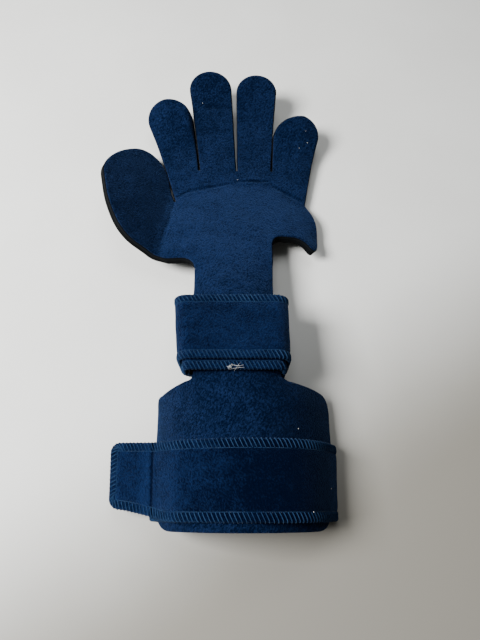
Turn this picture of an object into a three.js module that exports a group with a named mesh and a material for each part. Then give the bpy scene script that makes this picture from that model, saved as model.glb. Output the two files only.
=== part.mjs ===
// Resting hand splint: one bent sheet of foam faced with napped fabric, held by two wound straps.
// Millimetres. +Y runs to the fingertips, +X to the little finger's side and +Z up, away from the hand.
// The splint lies hand side down, on its straps and on the underside of its knuckles.
//
// The sheet is drawn flat first, u across it and v along it from the forearm end, and then bent.

import * as THREE from 'three';

// Sheet: foam below, fabric above
const FOAM_THICKNESS = 6.2;
const FABRIC_THICKNESS = 1.0;
const LAYER_GAP = 0.3;

// Forearm trough
const FOREARM_LENGTH = 95;
const FOREARM_ARC = 159;
const TROUGH_RADIUS = 70;
const END_ARC = 155;
const END_RADIUS = 66;
const END_LENGTH = 60;
const END_CORNER = 25;
const SHOULDER_CORNER = 11;
const SHOULDER_RISE = 3;
const THUMB_SHOULDER_DROP = 2.4;
const THUMB_SHOULDER_RISE = 6.2;

// Neck, measured from the forearm's shoulder to the heel of the hand
const NECK_LENGTH = 111;
const NECK_WIDTH = 62.5;
const NECK_FILLET = 8;
const NECK_RADIUS = 80;
const NECK_SHIFT = -7.7;

// Where the arch across the sheet and the neck's shift to the side change, before (-) or past (+) a place
const TROUGH_ENDS = -5;
const NECK_ARCH_ENDS = -30;
const PALM_ARCH_STARTS = 10;
const SHIFT_STARTS = -15;
const SHIFT_ENDS = 24;

// Hand, measured from the heel to the top of the knuckle crease
const PALM_LENGTH = 85;
const PALM_WIDTH = 116;
const PALM_RADIUS = 400;
const HEEL_RISE = 13;
const HEEL_FILLET = 15;
const HEEL_CORNER_IN = 2;
const HEEL_CORNER_UP = 1.5;
const HEEL_SLANT = 0.5;

// Flap that wraps the little finger's side of the hand, and the notch below it
const NOTCH_HEIGHT = 23;
const NOTCH_FILLET = 13;
const NOTCH_REACH = 9.75;
const FLAP_REACH = 42.5;
const FLAP_LIP = 24;
const FLAP_DROP = 8.5;
const FLAP_TOE = 3;
const FLAP_TOE_RISE = 6;
const FLAP_TOP = 64;
const FLAP_TAPER = 18;
const FLAP_CURL = 26;
const FLAP_CURL_WIDTH = 26;
const FLAP_CURL_FADE_IN = 20;
const FLAP_CURL_FADE_OUT = 26;
const FLAP_CURL_ENDS = -12;

// Fingers, measured from the top of the knuckle crease
const FINGER_LENGTH = 114;
const FINGER_WIDTH = 34;
const WEB_REACH = 16;
const WEB_GAP = 2;
const WEB_BLEND = 4;
const LITTLE_ROOT = -21;
const LITTLE_OUT = 4.5;

// Thumb pad, measured along and away from its fold
const THUMB_LENGTH = 102.5;
const THUMB_WIDTH = 68.2;
const THUMB_FOLD = 44;
const THUMB_FOLD_WIDTH = 9;
const THUMB_CROTCH = -17;
const THUMB_CROTCH_IN = 5;
const THUMB_HEEL_OUT = 3;
const THUMB_HEEL_UP = 3;
const THUMB_SLIT_LEAN = 3;

// Straps
const STRAP_WIDTH = 50.8;
const STRAP_THICKNESS = 3.0;
const STRAP_CLEARANCE = 0.4;
const FOREARM_STRAP_PLACE = 31.6;
const FOREARM_STRAP_OVERLAP = 46;
const FOREARM_STRAP_SLACK = 3.5;
const FOREARM_STRAP_TAPER = 0.032;
const STRAP_CORNER_RADIUS = 4.5;
const LAYER_LIFT = 0.32;
const TAB_LEAVES = 48;
const TAB_LENGTH = 43;
const TAB_SLOPE = 18;
const TAB_BEND = 14;
const TAB_TIP_WIDTH = 44.5;
const TAB_TIP_SHIFT = 4.6;
const TAB_CORNER = 7;
const TAB_CORNER_SHARE = 0.94;
const WRIST_LOOP_ROOM = 3.9;
const WRIST_LOOP_SHIFT = -0.35;
const WRIST_CORNER = 6;
const WRIST_LEAN = 0.046;
const WRIST_TAPER = 0.064;
const WRIST_STRAP_DROP = 2.6;
const WRIST_STRAP_STEP = 7.2;
const WRIST_STEP_LENGTH = 24;

// How far the wrist strap's ends and its step back reach, as shares of its loop's flat width or half width
const WRIST_START = 0.6;
const WRIST_END = 0.3;
const WRIST_STEP_BACK = 0.8;
const WRIST_LIFT_FROM = 0.45;
const WRIST_LIFT = 0.3;

// Bends along the sheet: place past the shoulder or the heel, angle in degrees and length of the bend
const WRIST_BEND = { place: 17, angle: -9, length: 60 };
const HEEL_BEND = { place: -34, length: 40, least: -40, most: 20 };
const KNUCKLE_FOLD = { angle: 19, length: 8 };
const FINGER_CURL = { place: 0.39, angle: 8, length: 50 };
const TIP_FOLD = { angle: 13, length: 18 };

// The knuckle crease is an arch, highest over the ring finger: its fall on each side at the palm's edge
const CREASE_TOP = 0.155;
const CREASE_FALL_THUMB = 16;
const CREASE_FALL_LITTLE = 20;

// Faceting
const BODY_STEP = 8;
const DIGIT_STEP = 5;
const INNER_STEP = 9;
const FOLD_STEP = 7.2;
const FOLD_CLEAR = 3;
const GRID_CLEAR = 0.55;
const GRID_APART = 0.7;
const ARC_STEPS = 14;
const CORNER_STEPS = 6;
const SIDE_STEPS = 4;
const TAB_STEPS = 5;
const TAPER_STEPS = 4;
const ARCH_SAMPLES = 24;
const FINGER_SAMPLES = 40;
const LINE_STEP = 0.5;
const SOLVER_STEPS = 24;
const SEAT_STEP = 0.1;
const SEAT_TRIES = 100;
const FACE_STEP = 2;

// Rows of the neck's face that the wrist strap clears, as shares of its half width
const FACE_SHARES = [-1, -0.75, -0.5, 0, 0.5, 0.75, 1];

// Digits from the little finger to the index: the pad's round end across the hand as a share of
// PALM_WIDTH, its tip's reach as a share of FINGER_LENGTH, its width as a share of FINGER_WIDTH and
// the place of its tip's fold as a share of its reach
const DIGITS = [
  { name: 'little', across: 0.458, reach: 0.586, width: 1.1, fold: 0.42 },
  { name: 'ring', across: 0.158, reach: 0.966, width: 0.95, fold: 0.58 },
  { name: 'middle', across: -0.176, reach: 1.01, width: 1.01, fold: 0.73 },
  { name: 'index', across: -0.477, reach: 0.745, width: 1.07, fold: 0.51 },
];

// Webs between neighbouring fingers, across the hand as shares of PALM_WIDTH
const WEBS = [0.288, 0.017, -0.272];

// Thumb pad's outline from the crotch round to the heel: the place along the fold as a share of
// THUMB_LENGTH and the distance from the fold as a share of THUMB_WIDTH
const THUMB_OUTLINE = [
  { along: 0.79, away: 0.126 },
  { along: 0.9, away: 0.196 },
  { along: 1.0, away: 0.322 },
  { along: 1.05, away: 0.5 },
  { along: 1.02, away: 0.68 },
  { along: 0.9, away: 0.85 },
  { along: 0.75, away: 0.96 },
  { along: 0.61, away: 0.99 },
  { along: 0.48, away: 0.92 },
  { along: 0.31, away: 0.79 },
  { along: 0.15, away: 0.6 },
  { along: 0.065, away: 0.4 },
  { along: 0.035, away: 0.17 },
];

const radians = THREE.MathUtils.degToRad;
const smooth = (t) => THREE.MathUtils.smoothstep(t, 0, 1);

// Places along the flat sheet
const shoulder = FOREARM_LENGTH;
const heel = shoulder + NECK_LENGTH;
const creaseTop = heel + PALM_LENGTH;
const webs = creaseTop + WEB_REACH;
const halfForearm = FOREARM_ARC / 2;
const halfEnd = END_ARC / 2;
const thumbShoulder = shoulder - THUMB_SHOULDER_DROP;
const halfNeck = NECK_WIDTH / 2;
const halfPalm = PALM_WIDTH / 2;
const faceTop = LAYER_GAP + FABRIC_THICKNESS;

// The wrist strap's lowest edge lies on the neck's fillets, and its loop stands a little to the thumb's side
const filletEnd = shoulder + SHOULDER_RISE + NECK_FILLET;
const wristPlace = filletEnd - WRIST_STRAP_DROP + WRIST_STRAP_STEP + STRAP_WIDTH / 2;

// The thumb's fold runs from the heel up to the crotch between thumb and index
const thumbFoldStart = new THREE.Vector2(-halfPalm - THUMB_HEEL_OUT, heel + THUMB_HEEL_UP);
const thumbCrotch = new THREE.Vector2(-halfPalm + THUMB_CROTCH_IN, creaseTop + THUMB_CROTCH);
const thumbFoldLength = thumbFoldStart.distanceTo(thumbCrotch);
const thumbAlong = thumbCrotch.clone().sub(thumbFoldStart).normalize();
const thumbAway = new THREE.Vector2(-thumbAlong.y, thumbAlong.x);

/** Point of the flat sheet at a place along the thumb's fold and away from it. */
function thumbPoint(along, away) {
  return thumbFoldStart.clone().addScaledVector(thumbAlong, along).addScaledVector(thumbAway, away);
}

/** Where the line from a point touches a circle, on the circle's left (side 1) or right (side -1). */
function tangentPoint(from, centre, radius, side) {
  const reach = from.distanceTo(centre);
  const heading = Math.atan2(from.y - centre.y, from.x - centre.x);
  const turn = Math.acos(radius / reach);
  const angle = heading + side * turn;
  return new THREE.Vector2(centre.x + radius * Math.cos(angle), centre.y + radius * Math.sin(angle));
}

/** The round end of a finger's pad. */
function padEnd(digit) {
  const radius = digit.width * FINGER_WIDTH / 2;
  const v = creaseTop + digit.reach * FINGER_LENGTH - radius;
  return { radius, centre: new THREE.Vector2(digit.across * PALM_WIDTH, v) };
}

// The slit between thumb and index opens beside the index's edge
const index = padEnd(DIGITS.at(-1));
const indexEdge = tangentPoint(thumbCrotch, index.centre, index.radius, -1).sub(thumbCrotch);
const thumbSlitLean = Math.atan2(-indexEdge.x, indexEdge.y) + radians(THUMB_SLIT_LEAN);

/** Adds one finger to the outline: up its right side, round its tip and down its left side. */
function addFinger(path, digit, rightFoot, leftFoot) {
  const { radius, centre } = padEnd(digit);
  const right = tangentPoint(rightFoot, centre, radius, 1);
  const left = tangentPoint(leftFoot, centre, radius, -1);
  path.lineTo(rightFoot.x, rightFoot.y);
  path.lineTo(right.x, right.y);
  const start = Math.atan2(right.y - centre.y, right.x - centre.x);
  const end = Math.atan2(left.y - centre.y, left.x - centre.x);
  path.absarc(centre.x, centre.y, radius, start, end < start ? end + 2 * Math.PI : end, false);
  path.lineTo(leftFoot.x, leftFoot.y);
}

/** The little finger's side: forearm, neck, notch and flap. */
function addLittleSide(path) {
  const notchTop = heel + NOTCH_HEIGHT;
  const flapEdge = halfNeck + FLAP_REACH;
  const toe = notchTop - FLAP_DROP;
  path.moveTo(0, 0);
  path.lineTo(halfEnd - END_CORNER, 0);
  path.quadraticCurveTo(halfEnd, 0, halfEnd, END_CORNER);
  path.lineTo(halfForearm, shoulder - SHOULDER_CORNER);
  path.quadraticCurveTo(halfForearm, shoulder, halfForearm - SHOULDER_CORNER, shoulder);
  path.lineTo(halfNeck + NECK_FILLET, shoulder + SHOULDER_RISE);
  path.quadraticCurveTo(halfNeck, shoulder + SHOULDER_RISE, halfNeck, shoulder + SHOULDER_RISE + NECK_FILLET);
  path.lineTo(halfNeck, notchTop - NOTCH_FILLET);
  path.quadraticCurveTo(halfNeck, notchTop, halfNeck + NOTCH_REACH, notchTop);
  path.lineTo(flapEdge - FLAP_LIP, notchTop);
  path.quadraticCurveTo(flapEdge - FLAP_LIP * 2 / 3, notchTop, flapEdge - FLAP_LIP / 3, toe);
  path.quadraticCurveTo(flapEdge - FLAP_TOE, toe - FLAP_TOE, flapEdge - FLAP_TOE / 2, toe + FLAP_TOE_RISE);
  path.bezierCurveTo(
    flapEdge, notchTop + FLAP_TOE_RISE,
    flapEdge, heel + FLAP_TOP - FLAP_TAPER,
    halfPalm + LITTLE_OUT, heel + FLAP_TOP,
  );
}

/** The thumb's side: thumb pad, heel, neck and forearm. */
function addThumbSide(path) {
  const round = THUMB_OUTLINE.map((row) => thumbPoint(row.along * THUMB_LENGTH, row.away * THUMB_WIDTH));
  path.lineTo(thumbCrotch.x - WEB_GAP / 2, thumbCrotch.y);
  path.splineThru(round);
  path.lineTo(-halfPalm + HEEL_CORNER_IN, heel + HEEL_CORNER_UP);
  path.lineTo(-halfNeck - HEEL_FILLET, heel + HEEL_SLANT);
  path.quadraticCurveTo(-halfNeck, heel, -halfNeck, heel - HEEL_RISE);
  const rise = thumbShoulder + THUMB_SHOULDER_RISE;
  path.lineTo(-halfNeck, rise + NECK_FILLET);
  path.quadraticCurveTo(-halfNeck, rise, -halfNeck - NECK_FILLET, rise);
  path.lineTo(-halfForearm + SHOULDER_CORNER, thumbShoulder);
  path.quadraticCurveTo(-halfForearm, thumbShoulder, -halfForearm, thumbShoulder - SHOULDER_CORNER);
  path.lineTo(-halfEnd, END_CORNER);
  path.quadraticCurveTo(-halfEnd, 0, -halfEnd + END_CORNER, 0);
  path.lineTo(0, 0);
}

/** Points of the flat outline, counterclockwise, closer together round the digits. */
function sheetOutline() {
  const path = new THREE.Path();
  addLittleSide(path);
  const feet = WEBS.map((web) => web * PALM_WIDTH);
  const rightFeet = [halfPalm + LITTLE_OUT, ...feet.map((u) => u - WEB_GAP / 2)];
  const leftFeet = [...feet.map((u) => u + WEB_GAP / 2), thumbCrotch.x + WEB_GAP / 2];
  DIGITS.forEach((digit, i) => {
    const rightV = i === 0 ? creaseTop + LITTLE_ROOT : webs;
    const leftV = i === DIGITS.length - 1 ? thumbCrotch.y : webs;
    addFinger(path, digit, new THREE.Vector2(rightFeet[i], rightV), new THREE.Vector2(leftFeet[i], leftV));
  });
  addThumbSide(path);
  const points = [];
  for (const curve of path.curves) {
    const length = curve.getLength();
    if (length < 0.01) continue;
    const isDigit = curve.getPoint(0.5).y > heel - HEEL_RISE;
    const count = Math.ceil(length / (isDigit ? DIGIT_STEP : BODY_STEP));
    for (let i = 0; i < count; i += 1) {
      points.push(curve.getPointAt(i / count));
    }
  }
  return points;
}

/** Whether a flat point lies inside an outline. */
function isInside(p, outline) {
  let inside = false;
  outline.forEach((a, i) => {
    const b = outline[(i + 1) % outline.length];
    if ((a.y > p.y) !== (b.y > p.y) && p.x < a.x + (p.y - a.y) / (b.y - a.y) * (b.x - a.x)) {
      inside = !inside;
    }
  });
  return inside;
}

/** Rows of points along both edges of the knuckle fold and of the thumb's fold. */
function foldRows() {
  const rows = [];
  for (let u = -halfPalm; u <= halfPalm; u += FOLD_STEP) {
    for (const side of [-0.5, 0.5]) {
      rows.push(new THREE.Vector2(u, creaseAt(u) + side * KNUCKLE_FOLD.length));
    }
  }
  for (let along = 0; along <= thumbFoldLength; along += FOLD_STEP) {
    rows.push(thumbPoint(along, 0), thumbPoint(along, THUMB_FOLD_WIDTH));
  }
  return rows;
}

/** Points inside an outline: the folds' rows and a triangular grid, kept clear of its edge. */
function innerPoints(outline) {
  const box = new THREE.Box2().setFromPoints(outline);
  const rowStep = INNER_STEP * Math.sqrt(3) / 2;
  const inner = foldRows().filter(
    (p) => outline.every((q) => q.distanceTo(p) > FOLD_CLEAR) && isInside(p, outline),
  );
  const rows = [...inner];
  let row = 0;
  for (let v = box.min.y + rowStep / 2; v < box.max.y; v += rowStep) {
    row += 1;
    for (let u = box.min.x + (row % 2) * INNER_STEP / 2; u < box.max.x; u += INNER_STEP) {
      const p = new THREE.Vector2(u, v);
      const clear = outline.every((q) => q.distanceTo(p) > INNER_STEP * GRID_CLEAR)
        && rows.every((q) => q.distanceTo(p) > INNER_STEP * GRID_APART);
      if (clear && isInside(p, outline)) inner.push(p);
    }
  }
  return inner;
}

/** Circle through three points, as its centre and squared radius. */
function circleThrough(a, b, c) {
  const bx = b.x - a.x;
  const by = b.y - a.y;
  const cx = c.x - a.x;
  const cy = c.y - a.y;
  const d = 2 * (bx * cy - by * cx);
  const x = (cy * (bx * bx + by * by) - by * (cx * cx + cy * cy)) / d;
  const y = (bx * (cx * cx + cy * cy) - cx * (bx * bx + by * by)) / d;
  return { x: a.x + x, y: a.y + y, squared: x * x + y * y };
}

/** Delaunay triangles of a set of points, each new point opening the circles that hold it. */
function delaunay(points) {
  const far = 4000;
  const all = [
    ...points,
    new THREE.Vector2(-far, -far),
    new THREE.Vector2(far, -far),
    new THREE.Vector2(0, far),
  ];
  const n = points.length;
  const make = (corners) => ({ corners, circle: circleThrough(...corners.map((i) => all[i])) });
  let triangles = [make([n, n + 1, n + 2])];
  for (let i = 0; i < n; i += 1) {
    const p = all[i];
    const rim = new Map();
    const kept = [];
    for (const triangle of triangles) {
      const { x, y, squared } = triangle.circle;
      if ((p.x - x) ** 2 + (p.y - y) ** 2 >= squared) {
        kept.push(triangle);
        continue;
      }
      triangle.corners.forEach((a, k) => {
        const b = triangle.corners[(k + 1) % 3];
        if (!rim.delete(`${b},${a}`)) rim.set(`${a},${b}`, [a, b]);
      });
    }
    rim.forEach(([a, b]) => kept.push(make([a, b, i])));
    triangles = kept;
  }
  return triangles.map((t) => t.corners).filter((corners) => corners.every((i) => i < n));
}

/** The flat sheet as points and triangles, with the pairs of points that run along its edge. */
function sheetMesh() {
  const outline = sheetOutline();
  const points = [...outline, ...innerPoints(outline)];
  // A hair's offset keeps points in a row or on one circle apart for the mesher
  const loose = points.map((p, i) => p.clone().addScalar(1e-5 * Math.sin(i * 7.3)));
  const triangles = delaunay(loose).filter((t) => {
    const [a, b, c] = t.map((i) => points[i]);
    const centre = a.clone().add(b).add(c).divideScalar(3);
    return isInside(centre, outline);
  });
  const edge = new Map();
  for (const t of triangles) {
    t.forEach((a, k) => {
      const b = t[(k + 1) % 3];
      if (!edge.delete(`${b},${a}`)) edge.set(`${a},${b}`, [a, b]);
    });
  }
  return { points, triangles, edge: [...edge.values()] };
}

/** How far a run of bends has turned at a place along it. */
function turned(bends, s) {
  return bends.reduce(
    (sum, bend) => sum + radians(bend.angle) * smooth((s - bend.place) / bend.length + 0.5), 0,
  );
}

/** A run of bends as a curve in the plane: its heading and its place at each distance along it. */
class BentLine {
  constructor(bends, from, to) {
    this.from = from;
    this.step = LINE_STEP;
    this.samples = [];
    let x = from;
    let y = 0;
    for (let s = from; s <= to + this.step; s += this.step) {
      const angle = turned(bends, s);
      this.samples.push({ angle, x, y });
      x += Math.cos(angle) * this.step;
      y += Math.sin(angle) * this.step;
    }
  }

  at(s) {
    const place = THREE.MathUtils.clamp((s - this.from) / this.step, 0, this.samples.length - 1.001);
    const i = Math.floor(place);
    const a = this.samples[i];
    const b = this.samples[i + 1];
    const mix = (key) => THREE.MathUtils.lerp(a[key], b[key], place - i);
    return { angle: mix('angle'), x: mix('x'), y: mix('y') };
  }
}

// The trough's edges seat on the forearm strap's lower layer, which sets the height of its crown
const troughHalfAngle = halfForearm / TROUGH_RADIUS;
const troughEdge = STRAP_THICKNESS + STRAP_CLEARANCE;
const crownHeight = troughEdge + TROUGH_RADIUS - (TROUGH_RADIUS - FOAM_THICKNESS) * Math.cos(troughHalfAngle);

/** The sheet's centre line with a given bend at the heel. */
function spineWith(heelAngle) {
  const bends = [
    { ...WRIST_BEND, place: shoulder + WRIST_BEND.place },
    { ...HEEL_BEND, place: heel + HEEL_BEND.place, angle: heelAngle },
  ];
  return new BentLine(bends, 0, creaseTop + FINGER_LENGTH);
}

let spine = spineWith(0);
const fingerBends = DIGITS.map((digit) => [
  { ...FINGER_CURL, place: creaseTop + FINGER_CURL.place * digit.reach * FINGER_LENGTH },
  { ...TIP_FOLD, place: creaseTop + digit.fold * digit.reach * FINGER_LENGTH },
]);
const thumbLine = new BentLine(
  [{ place: THUMB_FOLD_WIDTH / 2, angle: THUMB_FOLD, length: THUMB_FOLD_WIDTH }], 0, THUMB_WIDTH * 1.5,
);

/** Blend of values along the sheet: each stop gives a place and the value there. */
function blend(v, stops) {
  let value = stops[0][1];
  for (let i = 1; i < stops.length; i += 1) {
    const [from] = stops[i - 1];
    const [to, next] = stops[i];
    value += (next - stops[i - 1][1]) * smooth((v - from) / (to - from));
  }
  return value;
}

/** Arch across the sheet at v, as one over its radius. */
function archAt(v) {
  const taper = (1 / END_RADIUS - 1 / TROUGH_RADIUS) * (1 - smooth(v / END_LENGTH));
  return taper + blend(v, [
    [shoulder + TROUGH_ENDS, 1 / TROUGH_RADIUS],
    [heel + NECK_ARCH_ENDS, 1 / NECK_RADIUS],
    [heel + PALM_ARCH_STARTS, 1 / PALM_RADIUS],
  ]);
}

/** How far the sheet's centre line stands to the side at v. */
function shiftAt(v) {
  return blend(v, [[shoulder + SHIFT_STARTS, 0], [shoulder + SHIFT_ENDS, NECK_SHIFT]]);
}

/** Angle of the sheet across its width, with the flap's curl added. */
function leanAt(u, v) {
  const curlFrom = halfNeck + FLAP_REACH - FLAP_CURL_WIDTH;
  const fadeIn = smooth((v - heel) / FLAP_CURL_FADE_IN + 1);
  const fadeOut = smooth((heel + FLAP_TOP + FLAP_CURL_ENDS - v) / FLAP_CURL_FADE_OUT);
  const curl = radians(FLAP_CURL) * smooth((u - curlFrom) / FLAP_CURL_WIDTH) * fadeIn * fadeOut;
  return archAt(v) * u + curl;
}

/** Frame of the bent sheet before its fingers and thumb are folded: a point, its normal and its heading. */
function bodyFrame(u, v) {
  const line = spine.at(v);
  const up = new THREE.Vector3(0, -Math.sin(line.angle), Math.cos(line.angle));
  const along = new THREE.Vector3(0, Math.cos(line.angle), Math.sin(line.angle));
  const side = new THREE.Vector3(1, 0, 0);
  let across = 0;
  let drop = 0;
  for (let i = 0; i < ARCH_SAMPLES; i += 1) {
    const lean = leanAt(u * (i + 0.5) / ARCH_SAMPLES, v);
    across += Math.cos(lean) * u / ARCH_SAMPLES;
    drop += Math.sin(lean) * u / ARCH_SAMPLES;
  }
  const lean = leanAt(u, v);
  const point = new THREE.Vector3(shiftAt(v) + across, line.x, crownHeight + line.y);
  point.addScaledVector(up, -drop);
  const normal = side.clone().multiplyScalar(Math.sin(lean)).addScaledVector(up, Math.cos(lean));
  return { point, normal, along };
}

/** Where the knuckle crease crosses the sheet at u. */
function creaseAt(u) {
  const top = CREASE_TOP * PALM_WIDTH;
  const side = u < top ? -halfPalm - top : halfPalm - top;
  const fall = u < top ? CREASE_FALL_THUMB : CREASE_FALL_LITTLE;
  return creaseTop - fall * Math.min(1, (u - top) / side) ** 2;
}

// The middle of each slit between two fingers: its foot and how far it leans
const slits = WEBS.map((web, i) => {
  const right = padEnd(DIGITS[i]);
  const left = padEnd(DIGITS[i + 1]);
  const foot = web * PALM_WIDTH;
  const top = (right.centre.x - right.radius + left.centre.x + left.radius) / 2;
  return { foot, lean: (top - foot) / (Math.min(right.centre.y, left.centre.y) - webs) };
});

/** The share of each digit's bends at a flat point, blended across each slit. */
function digitShares(u, v) {
  const past = slits.map(({ foot, lean }) => (
    1 - smooth((u - foot - lean * Math.max(0, v - webs)) / WEB_BLEND + 0.5)
  ));
  return DIGITS.map((_, i) => (past[i - 1] ?? 1) - (past[i] ?? 0));
}

/** How a finger has bent up at a flat point, from where its knuckle fold starts. */
function fingerBend(u, v, from) {
  const shares = digitShares(u, v);
  const knuckle = [{ ...KNUCKLE_FOLD, place: from + KNUCKLE_FOLD.length / 2 }];
  const angleAt = (s) => shares.reduce(
    (sum, share, i) => (share > 0 ? sum + share * turned(fingerBends[i], s) : sum), turned(knuckle, s),
  );
  const step = (v - from) / FINGER_SAMPLES;
  const bent = { angle: angleAt(v), x: 0, y: 0 };
  for (let i = 0; i < FINGER_SAMPLES; i += 1) {
    const angle = angleAt(from + (i + 0.5) * step);
    bent.x += Math.cos(angle) * step;
    bent.y += Math.sin(angle) * step;
  }
  return bent;
}

/** Turns a frame's point and normal up about its edge, following a bend away from it. */
function foldUp(frame, away, { angle, x, y }) {
  const point = frame.point.clone().addScaledVector(away, x).addScaledVector(frame.normal, y);
  const normal = frame.normal.clone().multiplyScalar(Math.cos(angle)).addScaledVector(away, -Math.sin(angle));
  return { point, normal };
}

/** Frame of the palm, the fingers and everything below them. */
function handFrame(u, v) {
  const foldFrom = creaseAt(u) - KNUCKLE_FOLD.length / 2;
  if (v <= foldFrom) return bodyFrame(u, v);
  const root = bodyFrame(u, foldFrom);
  return foldUp(root, root.along, fingerBend(u, v, foldFrom));
}

/** Frame of the thumb pad, at a place along its fold and away from it. */
function thumbFrame(along, away) {
  const held = THREE.MathUtils.clamp(along, 0, thumbFoldLength);
  const foot = thumbPoint(held, 0);
  const root = bodyFrame(foot.x, foot.y);
  const besideFlat = thumbPoint(held, LINE_STEP);
  const aheadFlat = thumbPoint(held + LINE_STEP, 0);
  const beside = bodyFrame(besideFlat.x, besideFlat.y).point.sub(root.point).normalize();
  const ahead = bodyFrame(aheadFlat.x, aheadFlat.y).point.sub(root.point).normalize();
  root.point.addScaledVector(ahead, along - held);
  return foldUp(root, beside, thumbLine.at(away));
}

/** Bends a flat point, and lifts it off the foam's face by a height. */
function bend(flat, height) {
  const fromFold = flat.clone().sub(thumbFoldStart);
  const along = fromFold.dot(thumbAlong);
  const away = fromFold.dot(thumbAway);
  const fromCrotch = flat.clone().sub(thumbCrotch);
  const beyondSlit = fromCrotch.x * Math.cos(thumbSlitLean) + fromCrotch.y * Math.sin(thumbSlitLean) > 0;
  const isThumb = away > 0 && !beyondSlit && flat.y > heel;
  const { point, normal } = isThumb ? thumbFrame(along, away) : handFrame(flat.x, flat.y);
  return point.addScaledVector(normal, height);
}

/** Bends the heel until the lowest point of the hand's underside comes down to the surface. */
function settleHand({ points }) {
  const hand = points.filter((p) => p.y > heel);
  let low = HEEL_BEND.least;
  let high = HEEL_BEND.most;
  for (let i = 0; i < SOLVER_STEPS; i += 1) {
    const angle = (low + high) / 2;
    spine = spineWith(angle);
    const lowest = Math.min(...hand.map((p) => bend(p, -FOAM_THICKNESS).z));
    if (lowest > 0) {
      high = angle;
    } else {
      low = angle;
    }
  }
}

/** A closed body from vertices and triangles. */
function bodyGeometry(vertices, triangles) {
  const geometry = new THREE.BufferGeometry();
  const coordinates = vertices.flatMap((p) => [p.x, p.y, p.z]);
  geometry.setAttribute('position', new THREE.Float32BufferAttribute(coordinates, 3));
  geometry.setIndex(triangles.flat());
  geometry.computeVertexNormals();
  return geometry;
}

/** One layer of the bent sheet, between two heights over the foam's face. */
function sheetLayer({ points, triangles, edge }, low, high) {
  const n = points.length;
  const vertices = [...points.map((p) => bend(p, high)), ...points.map((p) => bend(p, low))];
  const faces = [];
  for (const [a, b, c] of triangles) {
    faces.push([a, b, c], [n + a, n + c, n + b]);
  }
  for (const [a, b] of edge) {
    faces.push([n + a, n + b, b], [n + a, b, a]);
  }
  return bodyGeometry(vertices, faces);
}

/**
 * A band as a closed body. Each station has its middle, its normal and the strap's two edges there, and
 * shape moves each of its points where the strap isn't straight across.
 */
function bandGeometry(stations, shape) {
  const vertices = [];
  for (const { x, z, nx, nz, from, to } of stations) {
    for (const [y, side] of [[from, -1], [to, -1], [to, 1], [from, 1]]) {
      const off = side * STRAP_THICKNESS / 2;
      vertices.push(shape(new THREE.Vector3(x + nx * off, y, z + nz * off)));
    }
  }
  const faces = [[0, 2, 1], [0, 3, 2]];
  for (let i = 0; i + 1 < stations.length; i += 1) {
    for (let k = 0; k < 4; k += 1) {
      const a = 4 * i + k;
      const b = 4 * i + (k + 1) % 4;
      faces.push([a, b, b + 4], [a, b + 4, a + 4]);
    }
  }
  const last = 4 * (stations.length - 1);
  faces.push([last, last + 1, last + 2], [last, last + 2, last + 3]);
  return bodyGeometry(vertices, faces);
}

/** Walks a strap's middle in the XZ plane, turning as it goes, and leaves a station at each step. */
class StrapWalk {
  constructor(x, z, heading) {
    this.x = x;
    this.z = z;
    this.heading = heading;
    this.stations = [];
    this.mark();
  }

  mark() {
    const { x, z, heading } = this;
    this.stations.push({ x, z, nx: -Math.sin(heading), nz: Math.cos(heading) });
  }

  /** Goes a length while the heading turns by an angle, as an arc. */
  go(length, turn, steps) {
    const half = turn / steps / 2;
    const chord = length / steps * (half === 0 ? 1 : Math.sin(half) / half);
    for (let i = 0; i < steps; i += 1) {
      this.heading += half;
      this.x += Math.cos(this.heading) * chord;
      this.z += Math.sin(this.heading) * chord;
      this.heading += half;
      this.mark();
    }
  }
}

/** Adds a strap's edges to its stations: its middle line's place and its width at each one. */
function withEdges(stations, edgesAt) {
  return stations.map((station, i) => ({ ...station, ...edgesAt(i, stations.length) }));
}

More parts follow.
